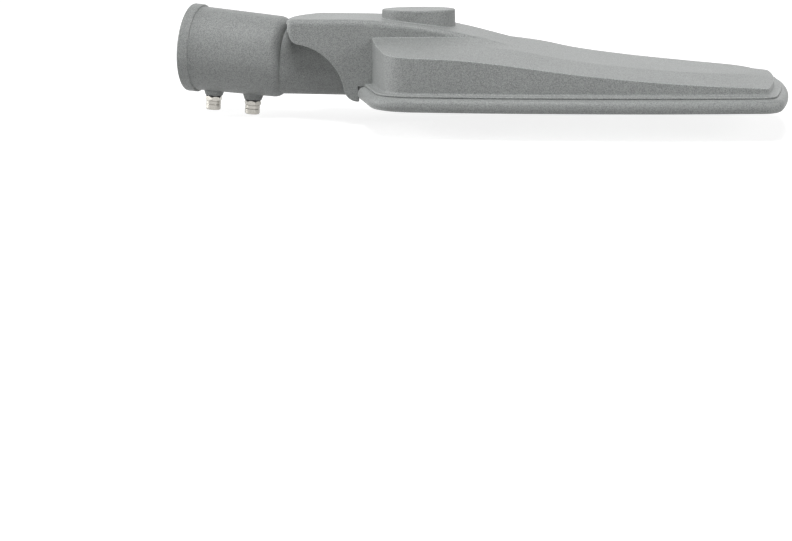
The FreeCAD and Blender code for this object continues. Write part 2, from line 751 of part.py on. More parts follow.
def screw(point, up, thread, shank, head, head_height, key_share):
    """Screw with a round head and a hexagon key hole. The point lies under the head, up along the shank."""
    body = rod(thread / 2, point, up, shank)
    head_start = point - up * head_height
    top = rod(head / 2, head_start, up, head_height)
    rim = [edge for edge in top.Edges if len(edge.Vertexes) == 1
           and abs((edge.CenterOfMass - head_start).dot(up)) < 0.01]
    top = top.makeChamfer(head_height * HEAD_CHAMFER_SHARE, rim)
    key = hex_prism(head * key_share, head_start, up, head_height * KEY_DEPTH_SHARE)
    return body.fuse(top).cut(key)


def clamp_screws():
    """Two socket-head screws that grip the pole."""
    screws = []
    for along in CLAMP_POSITIONS:
        under_head = clamp_face() + CLAMP_NUT_HEIGHT
        shank = under_head - bore_radius() - CLAMP_TIP_RECESS
        screws.append(screw(socket_point(along, under_head), socket_down() * -1, CLAMP_THREAD, shank,
                            CLAMP_HEAD_DIAMETER, CLAMP_HEAD_HEIGHT, CLAMP_SOCKET_AF / CLAMP_HEAD_DIAMETER))
    return Part.makeCompound(screws)


def chamfered_nut(start, direction, across_flats, height, hole_radius):
    """Hexagon nut with its corners turned off at both faces."""
    corner = across_flats / math.sqrt(3.0)
    body = hex_prism(across_flats, start, direction, height)
    rise = (corner - across_flats / 2) * 1.2
    waist = Part.makeCone(across_flats / 2, across_flats / 2 + height, height, start, direction)
    body = body.common(waist.fuse(rod(corner, start + direction * rise, direction, height)))
    end = start + direction * height
    waist = Part.makeCone(across_flats / 2, across_flats / 2 + height, height, end, direction * -1)
    body = body.common(waist.fuse(rod(corner, end - direction * rise, direction * -1, height)))
    return body.cut(rod(hole_radius, start - direction, direction, height + 2))


def clamp_nuts():
    """Lock nuts between the clamp bosses and the screws' heads."""
    return Part.makeCompound([
        chamfered_nut(socket_point(along, clamp_face()), socket_down(), CLAMP_NUT_AF, CLAMP_NUT_HEIGHT,
                      CLAMP_THREAD / 2 + THREAD_CLEARANCE) for along in CLAMP_POSITIONS])


def neck_bolts():
    """Bolts from inside the housing into the neck's flange."""
    front = BULKHEAD_X + BULKHEAD_THICKNESS
    return Part.makeCompound([
        screw(V(front, y, z), V(-1, 0, 0), NECK_BOLT, front - flange_x() - 1, NECK_BOLT_HEAD,
              NECK_BOLT_HEAD_HEIGHT, HEX_KEY_SHARE) for y, z in neck_bolt_points()])


def gland_body():
    """Gland's threaded stem, hexagon and sleeve."""
    front = BULKHEAD_X + BULKHEAD_THICKNESS
    stem_start = BULKHEAD_X - GLAND_LOCKNUT_HEIGHT - 1
    body = rod(GLAND_THREAD / 2, V(stem_start, 0, CABLE_HEIGHT), V(1, 0, 0), front - stem_start)
    body = body.fuse(hex_prism(GLAND_AF, V(front, 0, CABLE_HEIGHT), V(1, 0, 0), GLAND_HEX_HEIGHT))
    body = body.fuse(rod(GLAND_SLEEVE_RADIUS, V(front + GLAND_HEX_HEIGHT, 0, CABLE_HEIGHT), V(1, 0, 0), GLAND_SLEEVE))
    seal_start = front + GLAND_HEX_HEIGHT
    body = body.cut(rod(GLAND_BORE_RADIUS, V(stem_start - 1, 0, CABLE_HEIGHT), V(1, 0, 0),
                        seal_start - stem_start + 2))
    return body.cut(rod(GLAND_SEAL_RADIUS, V(seal_start, 0, CABLE_HEIGHT), V(1, 0, 0), GLAND_SLEEVE + 1))


def gland_seal():
    """Rubber ring in the gland's sleeve."""
    start = BULKHEAD_X + BULKHEAD_THICKNESS + GLAND_HEX_HEIGHT
    body = rod(GLAND_SEAL_RADIUS - THREAD_CLEARANCE, V(start, 0, CABLE_HEIGHT), V(1, 0, 0), GLAND_SLEEVE)
    return body.cut(rod(GLAND_BORE_RADIUS, V(start - 1, 0, CABLE_HEIGHT), V(1, 0, 0), GLAND_SLEEVE + 2))


def gland_cap():
    """Dome nut that squeezes the gland's seal."""
    start = BULKHEAD_X + BULKHEAD_THICKNESS + GLAND_HEX_HEIGHT
    body = hex_prism(GLAND_CAP_AF, V(start, 0, CABLE_HEIGHT), V(1, 0, 0), GLAND_CAP_HEIGHT)
    dome = Part.makeSphere(GLAND_DOME_RADIUS, V(start, 0, CABLE_HEIGHT))
    body = body.common(dome)
    body = body.cut(rod(GLAND_SLEEVE_RADIUS + THREAD_CLEARANCE, V(start - 1, 0, CABLE_HEIGHT), V(1, 0, 0),
                        GLAND_SLEEVE + 1))
    return body.cut(rod(GLAND_BORE_RADIUS, V(start, 0, CABLE_HEIGHT), V(1, 0, 0), GLAND_CAP_HEIGHT + 1))


def gland_locknut():
    """Nut that holds the gland from the neck's side."""
    return chamfered_nut(V(BULKHEAD_X, 0, CABLE_HEIGHT), V(-1, 0, 0), GLAND_AF, GLAND_LOCKNUT_HEIGHT,
                         GLAND_THREAD / 2 + THREAD_CLEARANCE)


def housing_gasket():
    """Ring between the frame and the housing, in the frame's groove."""
    z0 = FRAME_HEIGHT - SEAL_DEPTH
    return seal_ring(z0, FRAME_HEIGHT + SEAM)


def seal_ring(z0, z1):
    """Ring that follows the outline between the groove's two walls."""
    return plan_prism(SEAL_INSET, z0, z1).cut(plan_prism(SEAL_INSET + SEAL_WIDTH, z0 - 1, z1 + 1))


def frame_screws():
    """Screws from below through the frame into the housing."""
    shank = FRAME_HEIGHT + SEAM + FRAME_SCREW_GRIP - SEAT_CLEARANCE - FRAME_SCREW_SEAT
    return Part.makeCompound([
        screw(V(x, y, FRAME_SCREW_SEAT), V(0, 0, 1), FRAME_SCREW, shank, FRAME_SCREW_HEAD,
              FRAME_SCREW_HEAD_HEIGHT, HEX_KEY_SHARE) for x, y in frame_screw_points()])


def glass_outline(z0, z1):
    """Prism of the glass pane's outline."""
    prism = plan_prism(WINDOW_INSET - GLASS_MARGIN, z0, z1)
    return between(prism, WINDOW_REAR - GLASS_MARGIN, TIP_X)


def window_outline(z0, z1):
    """Prism of the frame's window."""
    return between(plan_prism(WINDOW_INSET, z0, z1), WINDOW_REAR, TIP_X)


def glass():
    """Flat tempered pane over the lenses."""
    return glass_outline(glass_bottom(), glass_top())


def glass_gasket():
    """Flat silicone frame under the pane."""
    return glass_outline(FRAME_FLOOR, glass_bottom()).cut(window_outline(FRAME_FLOOR - 1, glass_bottom() + 1))


def clip_places():
    """Screw position of each glass clip and the direction towards the glass."""
    edge = WINDOW_INSET - GLASS_MARGIN - CLIP_EDGE_GAP
    places = [(x, side * (half_width(x) - edge), V(0, -side, 0)) for x in CLIP_SIDE_X for side in (1, -1)]
    places += [(WINDOW_REAR - GLASS_MARGIN - CLIP_EDGE_GAP, side * CLIP_REAR_Y, V(1, 0, 0)) for side in (1, -1)]
    places.append((TIP_X - edge, 0.0, V(-1, 0, 0)))
    return places


def glass_clips():
    """Sheet clips with one end on the glass and a screw in the frame."""
    clips = []
    for x, y, inward in clip_places():
        length = CLIP_TAIL + CLIP_EDGE_GAP + CLIP_REACH
        clip = box(-CLIP_TAIL, length - CLIP_TAIL, -CLIP_WIDTH / 2, CLIP_WIDTH / 2, 0, CLIP_THICKNESS)
        clip = clip.makeFillet(CLIP_TAIL / 2,
                               [edge for edge in clip.Edges if edge.BoundBox.ZLength > CLIP_THICKNESS / 2])
        clip = clip.cut(rod(CLIP_SCREW / 2 + SCREW_CLEARANCE, V(0, 0, -1), V(0, 0, 1), CLIP_THICKNESS + 2))
        clip.Placement = FreeCAD.Placement(V(x, y, glass_top()), FreeCAD.Rotation(V(1, 0, 0), inward))
        clips.append(clip)
    return Part.makeCompound(clips)


def clip_screws():
    """Screws of the glass clips."""
    z = glass_top() + CLIP_THICKNESS
    return Part.makeCompound([
        screw(V(x, y, z), V(0, 0, -1), CLIP_SCREW, CLIP_THICKNESS + CLIP_SCREW_GRIP - SEAT_CLEARANCE,
              CLIP_SCREW_HEAD, CLIP_SCREW_HEAD_HEIGHT, HEX_KEY_SHARE) for x, y, _ in clip_places()])


def board_centres():
    """Plan centres of the two light boards."""
    return [(BOARD_REAR + BOARD_LENGTH / 2, side * BOARD_CENTRE_Y) for side in (1, -1)]


def led_points(centre):
    """Plan positions of the LED packages on one board."""
    return [(centre[0] + (column - (LED_COLUMNS - 1) / 2) * LED_PITCH_X,
             centre[1] + (row - (LED_ROWS - 1) / 2) * LED_PITCH_Y)
            for column in range(LED_COLUMNS) for row in range(LED_ROWS)]


def board_screw_points(centre):
    """Plan positions of the screws between the LED rows of one board."""
    return [(centre[0] + k * 2 * LED_PITCH_X + LED_PITCH_X / 2, centre[1]) for k in (-1.5, -0.5, 0.5)]


def board_blank(centre, z0, z1):
    """Rounded plate with the boards' outline."""
    x, y = centre
    blank = box(x - BOARD_LENGTH / 2, x + BOARD_LENGTH / 2, y - BOARD_WIDTH / 2, y + BOARD_WIDTH / 2, z0, z1)
    return blank.makeFillet(BOARD_CORNER, [edge for edge in blank.Edges if edge.BoundBox.ZLength > (z1 - z0) / 2])


def led_boards():
    """Aluminium-core boards under the lens plate."""
    boards = []
    for centre in board_centres():
        board = board_blank(centre, board_bottom(), plate_bottom())
        boards.append(drilled(board, board_screw_points(centre), BOARD_SCREW / 2 + SCREW_CLEARANCE))
    return Part.makeCompound(boards)


def led_chips():
    """LED packages on the boards."""
    half = LED_SIZE / 2
    return Part.makeCompound([
        box(x - half, x + half, y - half, y + half, board_bottom() - LED_HEIGHT, board_bottom())
        for centre in board_centres() for x, y in led_points(centre)])


def lens_arrays():
    """Moulded lens plates: a flat base with one lens and one pocket for each LED."""
    plates = []
    pocket = LED_SIZE / 2 + LED_POCKET_CLEARANCE
    pocket_top = board_bottom() - LED_HEIGHT - LED_POCKET_CLEARANCE
    for centre in board_centres():
        plate = board_blank(centre, lens_base(), board_bottom())
        for x, y in led_points(centre):
            plate = plate.fuse(Part.makeCone(LENS_RADIUS, LENS_TOP_RADIUS, LENS_HEIGHT, V(x, y, lens_base()),
                                             V(0, 0, -1)))
        for x, y in led_points(centre):
            plate = plate.cut(box(x - pocket, x + pocket, y - pocket, y + pocket, pocket_top, plate_bottom()))
        plates.append(drilled(plate, board_screw_points(centre), BOARD_SCREW / 2 + SCREW_CLEARANCE))
    return Part.makeCompound(plates)


def board_screws():
    """Screws through lens plates and boards into the mounting plate."""
    shank = LENS_BASE + BOARD_THICKNESS + PLATE_THICKNESS - SEAT_CLEARANCE
    return Part.makeCompound([
        screw(V(x, y, lens_base()), V(0, 0, 1), BOARD_SCREW, shank, BOARD_SCREW_HEAD, BOARD_SCREW_HEAD_HEIGHT,
              HEX_KEY_SHARE) for centre in board_centres() for x, y in board_screw_points(centre)])


def mounting_plate():
    """Aluminium plate that carries the boards and spreads their heat."""
    plate = between(plan_prism(PLATE_INSET, plate_bottom(), plate_top()), PLATE_REAR, PLATE_FRONT)
    plate = drilled(plate, plate_screw_points(), INNER_SCREW / 2 + SCREW_CLEARANCE)
    for centre in board_centres():
        plate = drilled(plate, board_screw_points(centre), BOARD_SCREW / 2 + THREAD_CLEARANCE)
    return plate


def inner_screws(points, z, through):
    """Screws from below through a sheet of a given thickness into the roof's bosses."""
    return Part.makeCompound([
        screw(V(x, y, z), V(0, 0, 1), INNER_SCREW, through + INNER_SCREW_GRIP - 2 * SEAT_CLEARANCE,
              INNER_SCREW_HEAD, INNER_SCREW_HEAD_HEIGHT, HEX_KEY_SHARE) for x, y in points])


def gear_tray():
    """Steel tray that carries the electrical parts."""
    tray = box(TRAY_REAR, TRAY_FRONT, -TRAY_HALF_WIDTH, TRAY_HALF_WIDTH, TRAY_HEIGHT, TRAY_HEIGHT + TRAY_THICKNESS)
    tray = tray.makeFillet(TRAY_CORNER, [edge for edge in tray.Edges if edge.BoundBox.ZLength > TRAY_THICKNESS / 2])
    tray = drilled(tray, tray_screw_points(), INNER_SCREW / 2 + SCREW_CLEARANCE)
    return drilled(tray, driver_screw_points(), INNER_SCREW / 2 + THREAD_CLEARANCE)


def driver_screw_points():
    """Plan positions of the driver's two screws."""
    x = DRIVER_REAR + DRIVER_WIDTH / 2
    return [(x, side * (DRIVER_HALF_LENGTH + DRIVER_TAB / 2)) for side in (1, -1)]


def led_driver():
    """Driver case with a fixing tab at each end."""
    body = box(DRIVER_REAR, DRIVER_REAR + DRIVER_WIDTH, -DRIVER_HALF_LENGTH, DRIVER_HALF_LENGTH,
               TRAY_HEIGHT - DRIVER_HEIGHT, TRAY_HEIGHT)
    body = body.makeFillet(DRIVER_ROUND, [edge for edge in body.Edges if edge.BoundBox.ZMax < TRAY_HEIGHT - 1
                                          or edge.BoundBox.ZLength > DRIVER_HEIGHT / 2])
    x = DRIVER_REAR + DRIVER_WIDTH / 2
    reach = DRIVER_HALF_LENGTH + DRIVER_TAB
    tab = box(x - DRIVER_TAB_WIDTH / 2, x + DRIVER_TAB_WIDTH / 2, -reach, reach,
              TRAY_HEIGHT - DRIVER_TAB_THICKNESS, TRAY_HEIGHT)
    tab = tab.makeFillet(DRIVER_ROUND, [edge for edge in tab.Edges if edge.BoundBox.ZLength > 1])
    return body.fuse(drilled(tab, driver_screw_points(), INNER_SCREW / 2 + SCREW_CLEARANCE))


def driver_screws():
    """Screws of the driver's tabs."""
    return Part.makeCompound([
        screw(V(x, y, TRAY_HEIGHT - DRIVER_TAB_THICKNESS), V(0, 0, 1), INNER_SCREW,
              DRIVER_TAB_THICKNESS + TRAY_THICKNESS, INNER_SCREW_HEAD, INNER_SCREW_HEAD_HEIGHT, HEX_KEY_SHARE)
        for x, y in driver_screw_points()])


def terminal_axes():
    """Y of each pole of the terminal block."""
    return [TERMINAL_START_Y + (pole + 0.5) * TERMINAL_PITCH for pole in range(TERMINAL_POLES)]


def terminal_block():
    """Terminal block with a wire entry on both sides and a screw well for each pole."""
    bottom = TRAY_HEIGHT - TERMINAL_HEIGHT
    body = box(TERMINAL_REAR, TERMINAL_REAR + TERMINAL_DEPTH, TERMINAL_START_Y,
               TERMINAL_START_Y + TERMINAL_POLES * TERMINAL_PITCH, bottom, TRAY_HEIGHT)
    middle = TERMINAL_REAR + TERMINAL_DEPTH / 2
    for y in terminal_axes():
        body = body.cut(rod(TERMINAL_WIRE_RADIUS, V(TERMINAL_REAR - 1, y, bottom + TERMINAL_HEIGHT / 2), V(1, 0, 0),
                            TERMINAL_DEPTH + 2))
        body = body.cut(rod(TERMINAL_SCREW / 2 + THREAD_CLEARANCE, V(middle, y, bottom), V(0, 0, 1),
                            TERMINAL_HEIGHT / 2))
        body = body.cut(rod(TERMINAL_SCREW_HEAD / 2 + SCREW_CLEARANCE, V(middle, y, bottom), V(0, 0, 1),
                            TERMINAL_WELL_DEPTH))
    return body


def terminal_screws():
    """Clamping screws in the terminal block's wells."""
    seat = TRAY_HEIGHT - TERMINAL_HEIGHT + TERMINAL_WELL_DEPTH
    middle = TERMINAL_REAR + TERMINAL_DEPTH / 2
    shank = TERMINAL_HEIGHT / 2 - TERMINAL_WELL_DEPTH - TERMINAL_WIRE_RADIUS
    return Part.makeCompound([
        screw(V(middle, y, seat), V(0, 0, 1), TERMINAL_SCREW, shank, TERMINAL_SCREW_HEAD,
              TERMINAL_SCREW_HEAD_HEIGHT, HEX_KEY_SHARE) for y in terminal_axes()])


def surge_protector():
    """Potted surge protection block."""
    body = box(TERMINAL_REAR, TERMINAL_REAR + TERMINAL_DEPTH, SURGE_START_Y, SURGE_START_Y + SURGE_LENGTH,
               TRAY_HEIGHT - SURGE_HEIGHT, TRAY_HEIGHT)
    return body.makeFillet(DRIVER_ROUND, [edge for edge in body.Edges if edge.BoundBox.ZMax < TRAY_HEIGHT - 1])


def vent():
    """Pressure-equalising plug in the frame's floor."""
    x, y = VENT_POINT
    head = rod(VENT_HEAD_RADIUS, V(x, y, -VENT_HEAD_HEIGHT), V(0, 0, 1), VENT_HEAD_HEIGHT)
    head = head.makeFillet(VENT_HEAD_HEIGHT / 2,
                           [edge for edge in head.Edges if edge.BoundBox.ZMax < -VENT_HEAD_HEIGHT + 0.01])
    stem = rod(VENT_THREAD / 2, V(x, y, 0), V(0, 0, 1), FRAME_FLOOR + VENT_NUT_HEIGHT + 1)
    return head.fuse(stem)


def vent_nut():
    """Nut of the vent on the floor's inner side."""
    x, y = VENT_POINT
    return chamfered_nut(V(x, y, FRAME_FLOOR), V(0, 0, 1), VENT_NUT_AF, VENT_NUT_HEIGHT,
                         VENT_THREAD / 2 + THREAD_CLEARANCE)


def bottom_frame():
    """Cast frame: rounded edge, floor with the window, gasket groove and screw bosses."""
    body = plan_prism(0.0, 0.0, FRAME_HEIGHT)
    body = body.makeFillet(FRAME_LOWER_ROUND, [edge for edge in body.Edges if edge.BoundBox.ZMax < 0.01])
    body = body.makeFillet(FRAME_UPPER_ROUND,
                           [edge for edge in body.Edges if edge.BoundBox.ZMin > FRAME_HEIGHT - 0.01])
    body = body.cut(plan_prism(FRAME_RIM, FRAME_FLOOR, FRAME_HEIGHT + 1))
    body = body.cut(window_outline(-1, FRAME_FLOOR + 1))
    body = body.cut(seal_ring(FRAME_HEIGHT - SEAL_DEPTH, FRAME_HEIGHT + 1))
    for x, y in frame_screw_points():
        body = body.fuse(rod(FRAME_BOSS_RADIUS, V(x, y, FRAME_FLOOR / 2), V(0, 0, 1),
                             FRAME_HEIGHT - FRAME_FLOOR / 2))
    for x, y, _ in clip_places():
        body = body.fuse(rod(CLIP_BOSS_RADIUS, V(x, y, FRAME_FLOOR / 2), V(0, 0, 1), glass_top() - FRAME_FLOOR / 2))
    for x, y in frame_screw_points():
        body = body.cut(rod(FRAME_SCREW / 2 + SCREW_CLEARANCE, V(x, y, -1), V(0, 0, 1), FRAME_HEIGHT + 2))
        body = body.cut(rod(FRAME_SCREW_HEAD / 2 + SCREW_CLEARANCE, V(x, y, -1), V(0, 0, 1), FRAME_SCREW_SEAT + 1))
    for x, y, _ in clip_places():
        body = body.cut(rod(CLIP_SCREW / 2 + THREAD_CLEARANCE, V(x, y, glass_top() - CLIP_SCREW_GRIP), V(0, 0, 1),
                            CLIP_SCREW_GRIP + 1))
    x, y = VENT_POINT
    return body.cut(rod(VENT_THREAD / 2 + THREAD_CLEARANCE, V(x, y, -1), V(0, 0, 1), FRAME_FLOOR + 2))


def export(name, shape):
    """Move a piece to the final frame and write it."""
    placed = shape.copy()
    placed.translate(V(0, 0, -MOUTH_HEIGHT))
    placed.exportStep("parts/" + name + ".step")
    print(name, len(placed.Solids), placed.isValid(), round(placed.Volume / 1000, 2))


def build():
    """Write every piece of the light."""
    export("top_housing", top_housing())
    export("pole_spigot", pole_spigot())
    export("bottom_frame", bottom_frame())
    export("clamp_screws", clamp_screws())
    export("clamp_nuts", clamp_nuts())
    export("neck_gasket", neck_gasket())
    export("neck_bolts", neck_bolts())
    export("gland_body", gland_body())
    export("gland_seal", gland_seal())
    export("gland_cap", gland_cap())
    export("gland_locknut", gland_locknut())
    export("housing_gasket", housing_gasket())
    export("frame_screws", frame_screws())
    export("glass", glass())
    export("glass_gasket", glass_gasket())
    export("glass_clips", glass_clips())
    export("clip_screws", clip_screws())
    export("led_boards", led_boards())
    export("led_chips", led_chips())
    export("lens_arrays", lens_arrays())
    export("board_screws", board_screws())
    export("mounting_plate", mounting_plate())
    export("plate_screws", inner_screws(plate_screw_points(), plate_bottom(), PLATE_THICKNESS))
    export("gear_tray", gear_tray())
    export("tray_screws", inner_screws(tray_screw_points(), TRAY_HEIGHT, TRAY_THICKNESS))
    export("led_driver", led_driver())
    export("driver_screws", driver_screws())
    export("terminal_block", terminal_block())
    export("terminal_screws", terminal_screws())
    export("surge_protector", surge_protector())
    export("vent", vent())
    export("vent_nut", vent_nut())


os.makedirs("parts", exist_ok=True)
build()
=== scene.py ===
import logging
import math
from dataclasses import dataclass
from enum import Enum
from typing import Any

import bmesh
import bpy
import numpy as np
from mathutils import Matrix, Vector


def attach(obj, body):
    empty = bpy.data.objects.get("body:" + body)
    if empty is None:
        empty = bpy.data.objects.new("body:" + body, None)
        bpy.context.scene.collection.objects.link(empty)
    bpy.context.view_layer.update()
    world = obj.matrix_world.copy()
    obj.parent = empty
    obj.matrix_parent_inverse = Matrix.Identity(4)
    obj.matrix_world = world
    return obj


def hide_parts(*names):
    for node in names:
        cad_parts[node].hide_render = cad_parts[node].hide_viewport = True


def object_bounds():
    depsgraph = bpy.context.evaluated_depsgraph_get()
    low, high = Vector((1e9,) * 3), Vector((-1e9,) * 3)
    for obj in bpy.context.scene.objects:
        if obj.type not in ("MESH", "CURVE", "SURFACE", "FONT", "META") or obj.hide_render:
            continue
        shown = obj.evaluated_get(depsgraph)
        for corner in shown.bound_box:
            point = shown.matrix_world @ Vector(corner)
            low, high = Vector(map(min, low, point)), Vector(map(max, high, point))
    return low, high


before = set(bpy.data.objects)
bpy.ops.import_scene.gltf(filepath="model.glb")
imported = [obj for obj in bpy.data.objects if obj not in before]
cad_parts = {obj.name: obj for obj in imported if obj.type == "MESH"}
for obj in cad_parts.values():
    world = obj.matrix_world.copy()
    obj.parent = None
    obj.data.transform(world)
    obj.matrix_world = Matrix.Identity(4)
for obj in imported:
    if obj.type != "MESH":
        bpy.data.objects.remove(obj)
cad_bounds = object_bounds()

log = logging.getLogger("street_light")

# Sizes of the lamp's pieces are millimetres in the frame of the solids: the origin is the centre of the pole
# bore at its mouth, +X runs to the tip, +Z is up. Edge radii and depths of the finishes and all of the studio
# are metres, and a pattern's scale is its number of features to the metre.
MM = 0.001
MERGE_DISTANCE = 0.001 * MM
Colour = tuple[float, float, float]
Point = tuple[float, float, float]


class Lay(Enum):
    """How the marks of a worked metal surface run."""

    ROLLED = "rolled"
    TURNED = "turned"
    SPANGLED = "spangled"


class Socket:
    """A node socket that joins in arithmetic and adds its Math nodes as it goes."""

    def __init__(self, graph: "Graph", link: Any) -> None:
        """Keep the graph that owns the socket."""
        self.graph = graph
        self.link = link

    def join(self, operation: str, *others: Any) -> "Socket":
        """Math node with this value first."""
        return self.graph.node("ShaderNodeMath", {"operation": operation}, dict(enumerate((self, *others))))

    def __add__(self, other: Any) -> "Socket":
        """Sum."""
        return self.join("ADD", other)

    __radd__ = __add__

    def __mul__(self, other: Any) -> "Socket":
        """Product."""
        return self.join("MULTIPLY", other)

    __rmul__ = __mul__

    def __sub__(self, other: Any) -> "Socket":
        """Difference."""
        return self.join("SUBTRACT", other)

    def __rsub__(self, other: Any) -> "Socket":
        """Difference with the number first."""
        return self * -1.0 + other

    def __gt__(self, other: Any) -> "Socket":
        """Mask that is 1 where the value is greater."""
        return self.join("GREATER_THAN", other)

    def __lt__(self, other: Any) -> "Socket":
        """Mask that is 1 where the value is less."""
        return self.join("LESS_THAN", other)


class Graph:
    """The node tree of one material or of the surroundings."""

    bevel_samples: int = 6
    open_lean: float = 0.995
    edge_lean: float = 0.9

    def __init__(self, owner: Any, output: str = "ShaderNodeOutputMaterial") -> None:
        """Start an empty tree with an output.

        Args:
            owner: the material or world that holds the tree.
            output: the type of its output node.
        """
        owner.use_nodes = True
        self.owner = owner
        self.tree = owner.node_tree
        self.tree.nodes.clear()
        self.output = self.tree.nodes.new(output)

    @classmethod
    def material(cls, name: str) -> "Graph":
        """Graph of a new material."""
        return cls(bpy.data.materials.new(name))

    def node(self, kind: str, settings: dict[str, Any] | None = None, inputs: dict[Any, Any] | None = None,
             out: Any = 0) -> Socket:
        """Add a node, set it up and connect it.

        Args:
            kind: the node's type.
            settings: properties that are set before the sockets.
            inputs: values or sockets by input name or index.
            out: the output that the returned socket stands for.

        Returns:
            The chosen output.
        """
        node = self.tree.nodes.new(kind)
        for key, value in (settings or {}).items():
            setattr(node, key, value)
        for key, value in (inputs or {}).items():
            if isinstance(value, Socket):
                self.tree.links.new(value.link, node.inputs[key])
            else:
                node.inputs[key].default_value = value
        return Socket(self, node.outputs[out])

    def vector(self, operation: str, first: Any, second: Any) -> Socket:
        """Vector Math node on two operands."""
        return self.node("ShaderNodeVectorMath", {"operation": operation}, {0: first, 1: second})

    def place(self, scale: Point = (1.0, 1.0, 1.0)) -> Socket:
        """Object coordinates in metres, stretched by a scale."""
        return self.vector("MULTIPLY", self.node("ShaderNodeTexCoord", out="Object"), scale)

    def axes(self, vector: Socket) -> tuple[Socket, Socket, Socket]:
        """The three parts of a vector."""
        parts = self.node("ShaderNodeSeparateXYZ", None, {0: vector}).link.node
        return tuple(Socket(self, parts.outputs[index]) for index in range(3))

    def noise(self, vector: Socket, scale: float, detail: float = 3.0, roughness: float = 0.5) -> Socket:
        """Noise from 0 to 1 with a number of features to the metre."""
        return self.node("ShaderNodeTexNoise", {"noise_dimensions": "3D"},
                         {"Vector": vector, "Scale": scale, "Detail": detail, "Roughness": roughness}, "Fac")

    def cells(self, vector: Socket, scale: float) -> Socket:
        """Random value from 0 to 1 that is constant over each small cell."""
        cell = self.node("ShaderNodeTexVoronoi", {"feature": "F1"}, {"Vector": vector, "Scale": scale},
                         "Color")
        return self.node("ShaderNodeSeparateColor", None, {0: cell}, "Red")

    def spread(self, value: Socket, low: float, high: float, start: float = 0.3, end: float = 0.7) -> Socket:
        """Map a value's middle range onto another range, held at both ends."""
        return self.node("ShaderNodeMapRange", {"clamp": True},
                         {"Value": value, "From Min": start, "From Max": end, "To Min": low, "To Max": high})

    def shade(self, colour: Any, factor: Socket) -> Socket:
        """A colour made lighter and darker by a factor."""
        return self.vector("MULTIPLY", colour, factor)

    def mix(self, mask: Socket, first: Any, second: Any) -> Socket:
        """Colour that is the first where the mask is 0 and the second where it is 1."""
        colours = {index: value if isinstance(value, Socket) else (*value, 1.0)
                   for index, value in ((6, first), (7, second))}
        return self.node("ShaderNodeMix", {"data_type": "RGBA"}, {0: mask, **colours}, 2)

    def bump(self, height: Socket, depth: float, strength: float, edge: float = 0.0) -> Socket:
        """Normal from a height field.

        Args:
            height: the field, from 0 to 1.
            depth: its full range in metres.
            strength: how much of it shows.
            edge: radius in metres by which the solid's own edges look rounded.

        Returns:
            The bent normal.
        """
        inputs = {"Height": height, "Distance": depth, "Strength": strength}
        if edge:
            inputs["Normal"] = self.node("ShaderNodeBevel", {"samples": self.bevel_samples}, {"Radius": edge})
        return self.node("ShaderNodeBump", None, inputs)

    def rim(self, width: float, tone: float) -> Socket:
        """Painted highlight: a colour factor that lightens edges and inner corners, where a rounded edge would
        catch light.

        Args:
            width: how far the factor reaches from the edge, in metres.
            tone: the factor at the edge, a painted highlight where it is above 1; it is 1 on open faces.

        Returns:
            The painted highlight factor, from how far the rounded normal leans away from the plain one.
        """
        rounded = self.node("ShaderNodeBevel", {"samples": self.bevel_samples}, {"Radius": width})
        plain = self.node("ShaderNodeNewGeometry", out="Normal")
        lean = self.node("ShaderNodeVectorMath", {"operation": "DOT_PRODUCT"}, {0: rounded, 1: plain},
                         "Value")
        return self.spread(lean, tone, 1.0, self.edge_lean, self.open_lean)

    def close(self, shader: Socket) -> Any:
        """Connect a shader to the output and return the owner of the tree."""
        self.tree.links.new(shader.link, self.output.inputs["Surface"])
        return self.owner

    def surface(self, inputs: dict[str, Any]) -> bpy.types.Material:
        """Close the material with a principled shader that has these values or sockets by input name."""
        return self.close(self.node("ShaderNodeBsdfPrincipled", None, inputs))

    def seen(self) -> Socket:
        """Mask of the rays that see the surroundings themselves: camera, glossy and transmission.

        Returns:
            The mask.
        """
        outputs = self.node("ShaderNodeLightPath").link.node.outputs
        camera, glossy, through = (Socket(self, outputs[f"Is {kind} Ray"])
                                   for kind in ("Camera", "Glossy", "Transmission"))
        return camera + glossy + through > 0.5


@dataclass(frozen=True)
class PowderCoat:
    """Fine-textured powder coat on a casting."""

    name: str
    edge: float
    # The next two values paint a highlight: within rim of an edge or inner corner the colour is lightened, up
    # to the tone at the edge, where a rounded edge would catch light.
    rim: float = 0.0
    edge_highlight_tone: float = 1.7
    colour: Colour = (0.289, 0.300, 0.296)
    grain: float = 1500.0
    fleck: float = 2000.0
    depth: float = 0.00007
    relief: float = 0.6
    cloud: float = 24.0
    specular: float = 0.45

    def material(self) -> bpy.types.Material:
        """Grain with pale and dark flecks over slow cloudiness, edges that look rounded, and, where rim is
        set, a painted highlight that lightens edges and inner corners.

        Returns:
            The finished material.
        """
        graph = Graph.material(self.name)
        place = graph.place()
        grain = graph.noise(place, self.grain, 2.0, 0.6)
        fleck = graph.cells(place, self.fleck)
        cloud = graph.noise(place, self.cloud)
        tone = (graph.spread(fleck, 0.7, 1.3, 0.0, 1.0) * graph.spread(grain, 0.82, 1.18)
                * graph.spread(cloud, 0.975, 1.025))
        # Painted highlight: the colour is lightened along edges and inner corners, where a rounded edge would
        # catch light.
        if self.rim:
            tone = tone * graph.rim(self.rim, self.edge_highlight_tone)
        return graph.surface({
            "Base Color": graph.shade(self.colour, tone),
            "Roughness": graph.spread(grain, 0.46, 0.6),
            "Specular IOR Level": self.specular,
            "Normal": graph.bump(grain, self.depth, self.relief, self.edge),
        })


